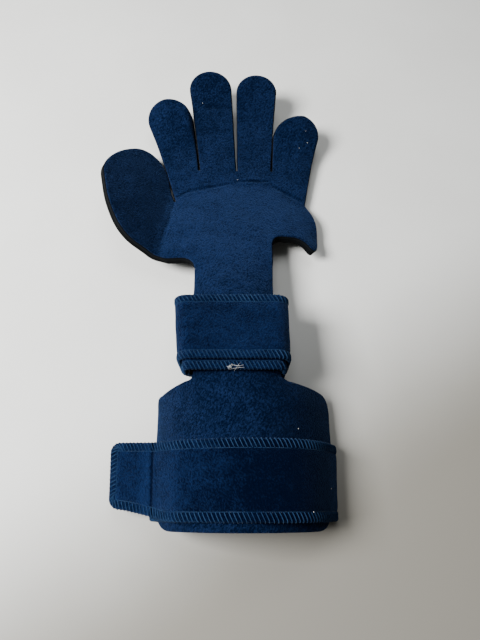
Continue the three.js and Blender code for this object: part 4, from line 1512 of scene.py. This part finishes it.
    def lower_to_hand(x: Array, y: Array, z: Array) -> Array:
        """Leans and widens the loop and lowers it as the neck slopes."""
        past = y - middle
        across = shift + (x - shift) * wider(past) - sizes.wrist_lean * past
        return np.stack([across, y, z * (1 + slope * past / height)], -1)

    return Strap(route, edges, sizes.thickness, lower_to_hand)


class Waves:
    """Gentle unevenness of laid cloth, as a sum of plane waves in all directions."""

    def __init__(self, rng: Random, shortest: float, longest: float, count: int = 26) -> None:
        """Draws the waves.

        Args:
            rng: The random numbers.
            shortest: Shortest wavelength in millimetres.
            longest: Longest wavelength in millimetres.
            count: How many waves there are.
        """
        length = np.exp(rng.uniform(math.log(shortest), math.log(longest), count))
        angle = rng.uniform(0, 2 * np.pi, count)
        self.turn = 2 * np.pi / length * np.array([np.cos(angle), np.sin(angle)])
        self.phase = rng.uniform(0, 2 * np.pi, count)
        self.share = (length / longest) / np.sqrt(((length / longest) ** 2).sum() / 2)

    def __call__(self, flat: Array) -> Array:
        """Height of the waves at flat points, with a spread of about one."""
        return np.sin(flat[:, :2] @ self.turn + self.phase) @ self.share


class Value:
    """A number, vector or colour on a shader socket. An expression on it adds the nodes that work it out."""

    def __init__(self, shader: "Shader", socket: bpy.types.NodeSocket) -> None:
        """Wraps a socket of a shader."""
        self.shader = shader
        self.socket = socket

    def __add__(self, other: "float | Value") -> "Value":
        """Sum."""
        return self.shader.math("ADD", self, other)

    def __radd__(self, other: float) -> "Value":
        """Sum, from the right."""
        return self.shader.math("ADD", other, self)

    def __sub__(self, other: "float | Value") -> "Value":
        """Difference."""
        return self.shader.math("SUBTRACT", self, other)

    def __rsub__(self, other: float) -> "Value":
        """Difference, from the right."""
        return self.shader.math("SUBTRACT", other, self)

    def __mul__(self, other: "float | Value") -> "Value":
        """Product."""
        return self.shader.math("MULTIPLY", self, other)

    def __rmul__(self, other: float) -> "Value":
        """Product, from the right."""
        return self.shader.math("MULTIPLY", other, self)

    def step(self, low: float, high: float) -> "Value":
        """Smooth step from 0 at one value to 1 at another."""
        settings = {"interpolation_type": "SMOOTHSTEP"}
        inputs = {"Value": self, "From Min": low, "From Max": high}
        node = self.shader.node("ShaderNodeMapRange", settings, inputs)
        return Value(self.shader, node.outputs["Result"])


class Shader:
    """A material's nodes, added in few words."""

    def __init__(self, name: str) -> None:
        """Makes the material."""
        self.material = bpy.data.materials.new(name)
        self.material.use_nodes = True
        self.tree = self.material.node_tree
        self.surface = self.tree.nodes["Principled BSDF"]

    def put(self, socket: bpy.types.NodeSocket, value: object) -> None:
        """Gives a socket a constant or a link."""
        if isinstance(value, Value):
            self.tree.links.new(value.socket, socket)
        elif isinstance(value, tuple) and socket.type == "RGBA":
            socket.default_value = (*value, 1)
        else:
            socket.default_value = value

    def node(self, kind: str, settings: dict, inputs: dict) -> bpy.types.Node:
        """Adds a node.

        Args:
            kind: Its type.
            settings: Its own settings, set first.
            inputs: Values or links of its sockets, by name or by number.

        Returns:
            The node.
        """
        node = self.tree.nodes.new(kind)
        for key, value in settings.items():
            setattr(node, key, value)
        for key, value in inputs.items():
            self.put(node.inputs[key], value)
        return node

    def math(self, operation: str, *values: "float | Value") -> Value:
        """Works out one Math node."""
        node = self.node("ShaderNodeMath", {"operation": operation}, dict(enumerate(values)))
        return Value(self, node.outputs[0])

    def mix(self, share: "float | Value", first: "tuple | Value", second: "tuple | Value") -> Value:
        """Mixes two colours."""
        node = self.node("ShaderNodeMix", {"data_type": "RGBA"}, {0: share, 6: first, 7: second})
        return Value(self, node.outputs[2])

    def noise(self, place: Value, scale: float, detail: float = 2.0, rough: float = 0.5) -> Value:
        """Noise at a place, in bumps for each unit of it."""
        inputs = {"Vector": place, "Scale": scale, "Detail": detail, "Roughness": rough}
        return Value(self, self.node("ShaderNodeTexNoise", {}, inputs).outputs["Fac"])

    def attribute(self, name: str) -> Value:
        """Reads one of the mesh's own vectors."""
        node = self.node("ShaderNodeAttribute", {"attribute_name": name}, {})
        return Value(self, node.outputs["Vector"])

    def object_place(self) -> Value:
        """Reads the place on the object, in metres."""
        return Value(self, self.node("ShaderNodeTexCoord", {}, {}).outputs["Object"])

    def parts(self, vector: Value) -> list[Value]:
        """Splits a vector."""
        node = self.node("ShaderNodeSeparateXYZ", {}, {"Vector": vector})
        return [Value(self, out) for out in node.outputs]

    def stretch(self, vector: Value, scale: tuple, turn: float) -> Value:
        """Turns a place about its third axis and then scales it."""
        inputs = {"Vector": vector, "Angle": turn}
        node = self.node("ShaderNodeVectorRotate", {"rotation_type": "Z_AXIS"}, inputs)
        inputs = {0: Value(self, node.outputs[0]), 1: scale}
        node = self.node("ShaderNodeVectorMath", {"operation": "MULTIPLY"}, inputs)
        return Value(self, node.outputs[0])

    def bump(self, height: Value, distance: float, strength: float) -> None:
        """Feeds the surface's normal with a bump."""
        node = self.node("ShaderNodeBump", {}, {"Height": height, "Distance": distance, "Strength": strength})
        self.put(self.surface.inputs["Normal"], Value(self, node.outputs["Normal"]))

    def finish(self, **constants: object) -> bpy.types.Material:
        """Sets the surface's other sockets and gives the material."""
        for key, value in constants.items():
            self.put(self.surface.inputs[key.replace("_", " ").title().replace("Ior", "IOR")], value)
        return self.material


@dataclass(frozen=True)
class NapFinish:
    """Napped knit: short dense fibres with a fine grain, blotches where the nap lies over, a soft sheen."""

    name: str
    deep: tuple
    pale: tuple
    grain: float = 0.75
    contrast: float = 0.85
    blotch: float = 0.11
    patch: float = 0.022
    edge_shade: float = 0.0
    sheen: float = 0.22
    sheen_tint: tuple = (0.16, 0.34, 0.8)
    bump_distance: float = 0.00045
    grain_stretch: tuple = (1.0, 0.62, 1.0)
    grain_turn: float = 0.55
    cross_stretch: tuple = (0.7, 1.0, 1.0)
    cross_turn: float = -0.75
    cross_finer: float = 1.5
    grain_share: float = 0.6
    fibre_steps: tuple = (0.41, 0.59)
    patch_steps: tuple = (0.3, 0.7)
    blotch_share: float = 0.3
    patch_share: float = 0.2
    base: float = 0.2
    painted_light_share: float = 0.25
    painted_shade_share: float = 0.95
    blotch_bump: float = 0.35

    def make(self) -> bpy.types.Material:
        """Makes the material. It reads a place and a mark: the painted shade in creases and folds, how near
        an edge, and how much paler it is, which is painted light and shade on the sheet, past the strap's
        fold and across the forearm strap.

        The tone is the two grains' mean over its middle, times the contrast, with the blotches, patches and
        painted light added, and the creases' painted shade and the edge's shade taken off.
        """
        shader = Shader(self.name)
        place = shader.attribute("flat")
        painted_shade, edge, lift = shader.parts(shader.attribute("mark"))
        along = shader.stretch(place, self.grain_stretch, self.grain_turn)
        grain = shader.noise(along, self.grain, 3.0, 0.68)
        aslant = shader.stretch(place, self.cross_stretch, self.cross_turn)
        cross = shader.noise(aslant, self.grain * self.cross_finer, 2.0, 0.6)
        blotch = shader.noise(place, self.blotch, 3.0, 0.6)
        patch = shader.noise(place, self.patch, 2.0, 0.5)
        fibre = grain.step(*self.fibre_steps) * self.grain_share
        fibre = fibre + cross.step(*self.fibre_steps) * (1 - self.grain_share)
        tone = (fibre - 0.5) * self.contrast + blotch.step(*self.patch_steps) * self.blotch_share
        tone = tone + patch.step(*self.patch_steps) * self.patch_share + self.base
        # Painted light and shade from the mark, less the painted shade of the creases and the edge's shade
        tone = tone + lift * self.painted_light_share - painted_shade * self.painted_shade_share - edge * self.edge_shade
        tone = shader.math("MAXIMUM", tone, 0.0)
        shader.put(shader.surface.inputs["Base Color"], shader.mix(tone, self.deep, self.pale))
        shader.bump(fibre + blotch * self.blotch_bump, self.bump_distance, 1.0)
        return shader.finish(
            roughness=0.95, specular_ior_level=0.03, sheen_weight=self.sheen, sheen_roughness=0.42,
            sheen_tint=self.sheen_tint,
        )


@dataclass(frozen=True)
class FoamFinish:
    """Cut foam: nearly black, with fine cells, and a greyer band on its cut edge just under the fabric."""

    name: str = "cut_foam"
    black: tuple = (0.0014, 0.0017, 0.0022)
    grey: tuple = (0.0085, 0.01, 0.012)
    grey_band_foot: tuple = (-2.2, -1.3)
    grey_band_top: tuple = (-0.9, -0.5)
    cells: float = 1.6
    patch: float = 0.12
    line_wavers: float = 0.6
    line_share: float = 0.62
    cell_share: float = 0.22
    patch_share: float = 0.12
    bump_distance: float = 0.0005

    def make(self) -> bpy.types.Material:
        """Makes the material. It reads the place on the sheet, whose third part is the height."""
        shader = Shader(self.name)
        place = shader.attribute("flat")
        height = shader.parts(place)[2]
        cells = shader.noise(place, self.cells, 2.0, 0.7)
        patch = shader.noise(place, self.patch, 2.0, 0.5)
        height = height + (patch - 0.5) * self.line_wavers
        line = height.step(*self.grey_band_foot) * (1 - height.step(*self.grey_band_top))
        tone = line * self.line_share + cells.step(0.4, 0.75) * self.cell_share + patch * self.patch_share
        shader.put(shader.surface.inputs["Base Color"], shader.mix(tone, self.black, self.grey))
        shader.bump(cells, self.bump_distance, 0.8)
        return shader.finish(roughness=0.9, specular_ior_level=0.06)


@dataclass(frozen=True)
class ThreadFinish:
    """Fluffy sewing thread."""

    name: str
    deep: tuple
    pale: tuple
    scale: float = 900.0
    sheen: float = 0.08
    wear_coarser: float = 18.0
    fibre_share: float = 0.55
    bump_distance: float = 0.0002

    def make(self) -> bpy.types.Material:
        """Makes the material, on object coordinates in metres."""
        shader = Shader(self.name)
        place = shader.object_place()
        fibres = shader.noise(place, self.scale, 2.0, 0.6)
        wear = shader.noise(place, self.scale / self.wear_coarser, 2.0, 0.5)
        tone = fibres.step(0.3, 0.7) * self.fibre_share + wear.step(0.35, 0.65) * (1 - self.fibre_share)
        shader.put(shader.surface.inputs["Base Color"], shader.mix(tone, self.deep, self.pale))
        shader.bump(fibres, self.bump_distance, 0.6)
        return shader.finish(
            roughness=0.85, specular_ior_level=0.05, sheen_weight=self.sheen, sheen_roughness=0.4,
        )


@dataclass(frozen=True)
class FloorFinish:
    """A pale smooth table with painted shade that darkens it gently towards the bottom right, away from the
    light.
    """

    name: str = "pale_table"
    dull: tuple = (0.8, 0.8, 0.78)
    bright: tuple = (0.86, 0.865, 0.845)
    # Painted shade: the table's colour at its darkest, towards the bottom right
    dim: tuple = (0.27, 0.255, 0.224)
    away: tuple = (0.5, -0.866)
    dims_from: float = 0.07
    dims_to: float = 0.24
    cloud: float = 9.0
    grain: float = 420.0
    cloud_share: float = 0.7
    edge_wavers: float = 0.03

    def make(self) -> bpy.types.Material:
        """Makes the material, on object coordinates in metres."""
        shader = Shader(self.name)
        place = shader.object_place()
        cloud = shader.noise(place, self.cloud, 3.0, 0.5)
        grain = shader.noise(place, self.grain, 2.0, 0.6)
        east, north, _ = shader.parts(place)
        reach = east * self.away[0] + north * self.away[1] + cloud * self.edge_wavers
        pale = cloud.step(0.3, 0.7) * self.cloud_share + grain * (1 - self.cloud_share)
        table = shader.mix(pale, self.dull, self.bright)
        # Painted shade, growing towards the bottom right
        far = reach.step(self.dims_from, self.dims_to)
        shader.put(shader.surface.inputs["Base Color"], shader.mix(far, table, self.dim))
        return shader.finish(roughness=0.6, specular_ior_level=0.25)


class Finish(Enum):
    """The splint's finishes."""

    FACE = NapFinish("navy_nap", (0.0, 0.0024, 0.0125), (0.0068, 0.0168, 0.058))
    STRAP = NapFinish(
        "strap_nap", (0.0, 0.0013, 0.0096), (0.005, 0.0145, 0.054),
        grain=0.85, contrast=0.62, edge_shade=0.1, bump_distance=0.0004,
    )
    FOAM = FoamFinish()
    THREAD = ThreadFinish("overlock_thread", (0.0022, 0.0125, 0.041), (0.014, 0.043, 0.103))
    LINT = ThreadFinish("white_lint", (0.42, 0.42, 0.4), (0.85, 0.85, 0.82), 1500.0, 0.1)
    TABLE = FloorFinish()

    def make(self) -> bpy.types.Material:
        """Makes the finish's material."""
        return self.value.make()


@dataclass(frozen=True)
class PhotoCamera:
    """The photograph's camera over the splint, in the pattern's frame and in millimetres."""

    place: tuple = (-2.6, 14.6, 370.0)
    tilt: float = 21.34
    focal_pixels: float = 481.0
    image_height: float = 640.0
    sensor: float = 36.0

    def build(self, offset: Array) -> None:
        """Makes the camera and gives it to the scene."""
        data = bpy.data.cameras.new("camera")
        data.sensor_width = self.sensor
        data.lens = self.sensor * self.focal_pixels / self.image_height
        data.clip_start = 0.01
        camera = bpy.data.objects.new("camera", data)
        camera.location = Vector(np.array(self.place) * MM + offset)
        camera.rotation_euler = Euler((math.radians(self.tilt), 0, 0))
        bpy.context.scene.collection.objects.link(camera)
        bpy.context.scene.camera = camera


@dataclass(frozen=True)
class SoftLight:
    """A square soft light: its place and what it points at in metres, its side and its power."""

    place: tuple
    target: tuple
    side: float
    power: float
    colour: tuple = (1.0, 1.0, 1.0)

    def build(self, name: str) -> None:
        """Adds the light to the scene."""
        data = bpy.data.lights.new(name, "AREA")
        data.size = self.side
        data.energy = self.power
        data.color = self.colour
        light = bpy.data.objects.new(name, data)
        light.location = self.place
        light.rotation_euler = (Vector(self.target) - Vector(self.place)).to_track_quat("-Z", "Y").to_euler()
        bpy.context.scene.collection.objects.link(light)


@dataclass(frozen=True)
class Studio:
    """The floor, the lights and the dim room round them."""

    floor_side: float = 6.0
    key: SoftLight = SoftLight((-0.64, -0.07, 0.76), (-0.1, 0.03, 0), 0.42, 25.0, (1.0, 1.0, 0.985))
    fill: SoftLight = SoftLight((0.1, 0.5, 0.95), (0.05, 0.1, 0), 0.6, 4.0, (0.98, 1.0, 1.0))
    room: tuple = (0.06, 0.06, 0.058)

    def build(self) -> None:
        """Makes the floor, the lights and the world."""
        half = self.floor_side / 2
        mesh = bpy.data.meshes.new("floor")
        corners = [(-half, -half, 0), (half, -half, 0), (half, half, 0), (-half, half, 0)]
        mesh.from_pydata(corners, [], [(0, 1, 2, 3)])
        mesh.materials.append(Finish.TABLE.make())
        floor = bpy.data.objects.new("floor", mesh)
        bpy.context.scene.collection.objects.link(floor)
        floor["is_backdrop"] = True
        self.key.build("key")
        self.fill.build("fill")
        world = bpy.data.worlds.new("room")
        world.use_nodes = True
        world.node_tree.nodes["Background"].inputs["Color"].default_value = (*self.room, 1)
        bpy.context.scene.world = world


FABRIC_EDGE = Profile(1.3, 0.04, (
    (0.9, 1.27), (0.5, 1.17), (0.2, 0.98), (0.04, 0.72), (0.0, 0.45), (0.03, 0.2), (0.15, 0.05),
))
FOAM_EDGE = Profile(0.0, -6.2, (
    (0.3, -0.02), (0.2, -0.4), (0.32, -1.2), (0.42, -2.4),
    (0.44, -3.6), (0.34, -4.8), (0.3, -5.6), (0.55, -6.1),
))

# Creases that wear has pressed into the fabric, through flat points
SPLINT_CREASES = Creases((
    Crease(((-52.5, 278.0), (-46.0, 282.0), (-40.0, 283.8)), 0.6, 1.0),
    Crease(((-44.5, 284.0), (-30.6, 287.0), (-19.2, 289.4), (-8.4, 292.2), (-1.0, 293.4)), 0.85, 1.15),
    Crease(((2.0, 295.4), (14.4, 296.0), (25.2, 296.2), (33.0, 297.4)), 0.85, 1.0),
    Crease(((33.0, 291.6), (39.5, 287.6), (46.2, 282.8), (56.0, 276.0), (62.0, 271.6)), 0.75, 1.3),
    Crease(((-53.8, 272.0), (-55.8, 257.0), (-58.8, 239.0), (-61.0, 222.0), (-61.8, 212.5)), 0.7, 1.5),
    Crease(((-27.0, 372.4), (-18.6, 373.6), (-11.0, 373.2)), 0.3, 1.6),
))

# White specks on the sheet as flat points, and on the forearm strap as distances along and places across
SHEET_SPECKS = ((63.0, 333.8), (60.6, 344.0), (56.4, 328.4), (-27.6, 377.0), (3.0, 297.4), (38.4, 65.0))
STRAP_SPECKS = ((202.3, 26.9), (226.1, 12.2))

# How far past the start of the forearm strap's tab the fold lies that its free end shows
FOLD_PAST_TAB = 8.3

# How much paler each strap is at places across the splint: painted shade darkens the forearm strap towards
# its right, and the wrist strap is paler towards its right
FOREARM_SHADE = ((-45, -0.2), (-10, -1.3), (20, -2.3), (60, -3.3))
WRIST_SHADE = ((-30, -0.5), (0, 0.1), (32, 0.5))


@dataclass(frozen=True)
class PaintedFaceLight:
    """How much paler the fabric is painted, as painted light and shade: most on the palm, which faces the
    light, and least on the digits; the thumb pad, which faces away, and both sides of the trough get painted
    shade.
    """

    base: float = -0.4
    palm: float = 1.25
    palm_below_heel: float = 60.0
    palm_rises: float = 70.0
    palm_below_crease: float = 18.0
    palm_falls: float = 40.0
    thumb: float = -0.7
    flap: float = 0.45
    flap_from: float = 34.0
    flap_rises: float = 16.0
    trough: float = 1.1
    trough_below_heel: float = 40.0
    trough_falls: float = 30.0
    right_from: float = -8.0
    right_rises: float = 60.0
    left: float = 0.25
    left_from: float = 20.0
    left_rises: float = 50.0

    def lift(self, bent: BentSheet, place: Array) -> Array:
        """Painted light and shade: the palm's share less the flap's and over the base, less the trough's
        share to both its sides.

        Args:
            bent: The bent sheet.
            place: Flat places with their heights.

        Returns:
            How much paler each of them is painted.
        """
        u, v = place[:, 0], place[:, 1]
        over_heel, over_crease = v - bent.z.heel, v - bent.z.crease
        palm = smooth((over_heel + self.palm_below_heel) / self.palm_rises)
        palm = palm * (1 - smooth((over_crease + self.palm_below_crease) / self.palm_falls))
        flap = 1 - self.flap * smooth((u - self.flap_from) / self.flap_rises)
        below = 1 - smooth((over_heel + self.trough_below_heel) / self.trough_falls)
        away = smooth((u - self.right_from) / self.right_rises)
        away = away + self.left * smooth((self.left_from - u) / self.left_rises)
        hand = np.where(bent.is_thumb(place[:, :2]), self.thumb, palm * flap * self.palm + self.base)
        return hand - self.trough * away * below


@dataclass(frozen=True)
class Sheet:
    """The sheet: its foam and the napped fabric on its face."""

    bent: BentSheet
    unevenness: float = 0.2
    fine_unevenness: float = 0.05
    wave_lengths: tuple = (16, 60)
    fine_wave_lengths: tuple = (4, 9)
    rim_width: float = 3.0
    face_from: float = 0.9
    foam_flare: float = 0.85
    flare_below_heel: float = 14.0
    flare_fades: float = 8.0
    tone: PaintedFaceLight = PaintedFaceLight()

    def build(self, maker: MeshPiece, pattern: SheetPattern, rng: Random) -> None:
        """Makes both layers."""
        self._foam(maker, pattern)
        self._face(maker, pattern, rng)

    def _foam(self, maker: MeshPiece, pattern: SheetPattern) -> None:
        """Makes the foam, whose cut edge stands out past the fabric round the hand."""
        above = pattern.rim[:, 1] - self.bent.z.heel + self.flare_below_heel
        flare = self.foam_flare * smooth(above / self.flare_fades)
        points, faces, place = pattern.layer(FOAM_EDGE, flare=flare)
        foam = maker.make("foam_sheet", points, faces, Finish.FOAM.make(), "foam", {"flat": place})
        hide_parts("foam_core")

    def _face(self, maker: MeshPiece, pattern: SheetPattern, rng: Random) -> None:
        """Makes the fabric with its waves and creases.

        Args:
            maker: Makes the meshes.
            pattern: The triangles of the flat pattern.
            rng: The random numbers.
        """
        flat = pattern.flat
        inward = smooth(pattern.rim_distance / self.rim_width)
        waves = Waves(rng, *self.wave_lengths)(flat) * self.unevenness
        waves = waves + Waves(rng, *self.fine_wave_lengths)(flat) * self.fine_unevenness
        depth, _ = SPLINT_CREASES.groove(flat)
        points, faces, place = pattern.layer(FABRIC_EDGE, waves * inward - depth)
        # Painted shade in the creases, kept for the top face
        _, painted_shade = SPLINT_CREASES.groove(place[:, :2])
        rim = np.ones(len(place))
        rim[:len(flat)] = 1 - inward
        # Painted light and shade over the sheet's fabric
        lift = self.tone.lift(self.bent, place)
        mark = np.column_stack([painted_shade * (place[:, 2] > self.face_from), rim, lift])
        attributes = {"flat": place, "mark": mark}
        face = maker.make("nap_face", points, faces, Finish.FACE.make(), "face_fabric", attributes)
        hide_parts("face_fabric")
        (x, y), (next_x, next_y) = pattern.rim.T, np.roll(pattern.rim, -1, 0).T


@dataclass(frozen=True)
class Fold:
    """A fold's line across a strap: a groove with a ridge past it, with painted shade in the groove and
    painted light with a painted highlight past it.
    """

    at: float
    width: float = 1.1
    depth: float = 0.7
    ridge: float = 0.14
    ridge_place: float = 2.6
    shade_width: float = 1.0
    pale: float = 0.2
    pale_from: float = 4.0
    painted_highlight: float = 1.6
    highlight_place: float = 5.5
    highlight_width: float = 5.0

    def relief(self, s: Array) -> Array:
        """Height at distances along the strap, as a bell for the ridge less a bell for the groove."""
        t = (s - self.at) / self.width
        return self.ridge * np.exp(-((t - self.ridge_place) ** 2) / 2) - self.depth * np.exp(-(t**2))

    def tones(self, s: Array) -> tuple[Array, Array]:
        """The painted shade in the groove and the painted light past it, at distances along the strap."""
        past = s - self.at
        painted_highlight = self.painted_highlight * np.exp(-(((past - self.highlight_place) / self.highlight_width) ** 2))
        return np.exp(-((past / self.shade_width) ** 2)), self.pale * smooth(past / self.pale_from) + painted_highlight


@dataclass(frozen=True)
class SewnStrap:
    """A strap: its band, the overlock stitches over its edges and their needle thread."""

    name: str
    strap: Strap
    capped: bool
    shade: tuple
    fold: Fold | None = None
    overlock: Overlock = Overlock()
    wave_lengths: tuple = (9, 40)
    unevenness: float = 0.09
    edge_in: float = 1.5
    edge_width: float = 2.0
    thread_ends: tuple = (0.6, 0.9)
    needle_sides: int = 5

    def _relief(self, waves: Waves) -> Callable:
        """Gives the height of the band's unevenness, with its fold where it has one."""
        def relief(s: Array, w: Array) -> Array:
            """Height at distances along and places across."""
            flat = np.column_stack([s.ravel(), w.ravel()])
            height = waves(flat).reshape(s.shape) * self.unevenness
            return height + self.fold.relief(s) if self.fold else height
        return relief

    def build(self, maker: MeshPiece, rng: Random) -> None:
        """Makes the strap's pieces.

        Args:
            maker: Makes the meshes.
            rng: The random numbers.
        """
        points, faces, place = self.strap.mesh(self._relief(Waves(rng, *self.wave_lengths)))
        s, w = place[:, 0], place[:, 1]
        start, end = self.strap.edges(s)
        inward = np.minimum(np.minimum(w - start, end - w), self.strap.length - s)
        edge = 1 - smooth((inward - self.overlock.depth + self.edge_in) / self.edge_width)
        # The fold's painted shade and painted light, then the paleness across the splint, which is painted
        # shade down the forearm strap's right
        painted_shade, lift = self.fold.tones(s) if self.fold else (np.zeros(len(s)), 0)
        lift = lift + np.interp(points[:, 0], *np.transpose(self.shade))
        attributes = {"flat": place, "mark": np.column_stack([painted_shade, edge, lift])}
        band = maker.make(
            self.name + "_band", points, faces, Finish.STRAP.make(), "strap_fabric", attributes,
        )
        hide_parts(self.name)
        thread = Finish.THREAD.make()
        paths = self.overlock.threads(self.strap, self.capped, rng)
        thick = [1.0] * (paths.shape[1] - 2 * len(self.thread_ends))
        radii = self.overlock.radius * np.array([*self.thread_ends, *thick, *self.thread_ends[::-1]])
        points, faces = tubes(paths, radii)
        stitches = maker.make(self.name + "_stitches", points, faces, thread, "strap_fabric")
        paths = self.overlock.chain(self.strap, self.capped)
        radii = np.full(paths.shape[1], self.overlock.needle_radius)
        points, faces = tubes(paths, radii, self.needle_sides)
        needle = maker.make(self.name + "_needle_thread", points, faces, thread, "strap_fabric")
        width, length = StrapSizes().width, self.strap.length
        width * MM
        length * MM
        LOG.info("%s_band: cut from %.1f x %.0f mm", self.name, width, length)


@dataclass(frozen=True)
class Lint:
    """White lint that clings to the nap: a tuft of fibres below the wrist strap and a few specks."""

    knot_fibres: int = 8
    long_fibres: int = 4
    fibre_radius: float = 0.08
    fibre_points: int = 14
    fibre_taper: float = 0.6
    tuft_place: tuple = (87.8, 104.8)
    long_shift: tuple = (5.6, -1.2)
    spread: tuple = (0.7, 0.8)
    reach: tuple = (1.0, 2.2)
    long_reach: float = 1.9
    heading: tuple = (0.3, 0.8)
    curl: float = 1.2
    tuft_height: float = 1.9
    height_spread: float = 0.8
    sway: float = 0.5
    speck_radius: float = 0.27
    speck_points: int = 6
    speck_sizes: tuple = (0.8, 1.4)
    speck_axis: tuple = (1, 1, 0.15)
    over_sheet: float = 1.5
    over_strap: float = 1.7

    def build(
        self, maker: MeshPiece, bent: BentSheet, forearm: Strap, wrist: Strap, rng: Random,
    ) -> None:
        """Makes the tuft and the specks.

        Args:
            maker: Makes the meshes.
            bent: The bent sheet.
            forearm: The forearm strap.
            wrist: The wrist strap.
            rng: The random numbers.
        """
        white = Finish.LINT.make()
        points, faces = self._tuft(wrist, rng)
        maker.make("lint_tuft", points, faces, white, "strap_fabric")
        on_sheet = bent.bend(np.array(SHEET_SPECKS), self.over_sheet)
        s, w = np.array(STRAP_SPECKS).T
        on_strap = forearm.place(s, w, np.full(len(s), self.over_strap))
        points, faces = self._specks(np.vstack([on_sheet, on_strap]), rng)
        maker.make("lint_specks", points, faces, white, "face_fabric")

    def _tuft(self, strap: Strap, rng: Random) -> tuple:
        """Fibres that lie in arcs along the strap's under layer, closest together in their middle.

        Args:
            strap: The strap.
            rng: The random numbers.

        Returns:
            Points and faces.
        """
        t = np.linspace(-1, 1, self.fibre_points)[None]
        count = self.knot_fibres + self.long_fibres
        is_long = (np.arange(count) >= self.knot_fibres)[:, None] * 1.0
        middle_s, middle_w = (
            place + is_long * shift + rng.normal(0, spread, (count, 1))
            for place, shift, spread in zip(self.tuft_place, self.long_shift, self.spread)
        )
        reach = rng.uniform(*self.reach, (count, 1)) * (1 + self.long_reach * is_long)
        heading = rng.normal(*self.heading, (count, 1))
        curl = rng.normal(0, self.curl, (count, 1))
        s = middle_s + reach * t * np.cos(heading) + curl * 0.4 * t**3
        w = middle_w + reach * t * np.sin(heading) * 0.6 + curl * (t**2 - 0.3)
        height = self.tuft_height + rng.uniform(0, self.height_spread, (count, 1))
        height = height + self.sway * np.sin(3 * t + curl)
        paths = strap.lay(np.stack([s, w], -1), height)
        return tubes(paths, self.fibre_radius * (1 - self.fibre_taper * t[0] ** 2), 5)

    def _specks(self, places: Array, rng: Random) -> tuple:
        """Small uneven blobs, each a row of rings round its place, as wide as a ball is there.

        Args:
            places: Their places.
            rng: The random numbers.

        Returns:
            Points and faces.
        """
        t = np.linspace(-1, 1, self.speck_points)[None, :, None]
        axis = rng.normal(0, 1, (len(places), 1, 3)) * self.speck_axis
        axis /= np.linalg.norm(axis, axis=2, keepdims=True)
        size = self.speck_radius * rng.uniform(*self.speck_sizes, (len(places), 1, 1))
        paths = places[:, None] + axis * t * size
        return tubes(paths, self.speck_radius * np.sqrt(np.maximum(0.02, 1 - t[0, :, 0] ** 2)))


def main() -> None:
    """Builds the splint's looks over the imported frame."""
    logging.basicConfig(level=logging.INFO)
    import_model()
    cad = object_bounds()
    rng = np.random.default_rng(SEED)
    bent = BentSheet(SheetSizes(), StrapSizes())
    pattern = SheetPattern(bent, SPLINT_CREASES)
    lowest = pattern.layer(FOAM_EDGE)[0].min(0)
    maker = MeshPiece(np.array(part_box("foam_core")[0]) - lowest * MM)
    Sheet(bent).build(maker, pattern, rng)
    forearm, tab = forearm_strap(bent, StrapSizes())
    wrist = wrist_strap(bent, StrapSizes())
    fold = Fold(tab + FOLD_PAST_TAB)
    SewnStrap("forearm_strap", forearm, True, FOREARM_SHADE, fold).build(maker, rng)
    other_way = Overlock(slant=-Overlock.slant)
    SewnStrap("wrist_strap", wrist, False, WRIST_SHADE, overlock=other_way).build(maker, rng)
    Lint().build(maker, bent, forearm, wrist, rng)
    Studio().build()
    PhotoCamera().build(maker.offset * (1, 1, 0))
    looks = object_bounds()
    LOG.info("bounds: cad %s, looks %s", cad, looks)
    [[list(corner) for corner in box] for box in (cad, looks)]


if __name__ == "__main__":
    main()
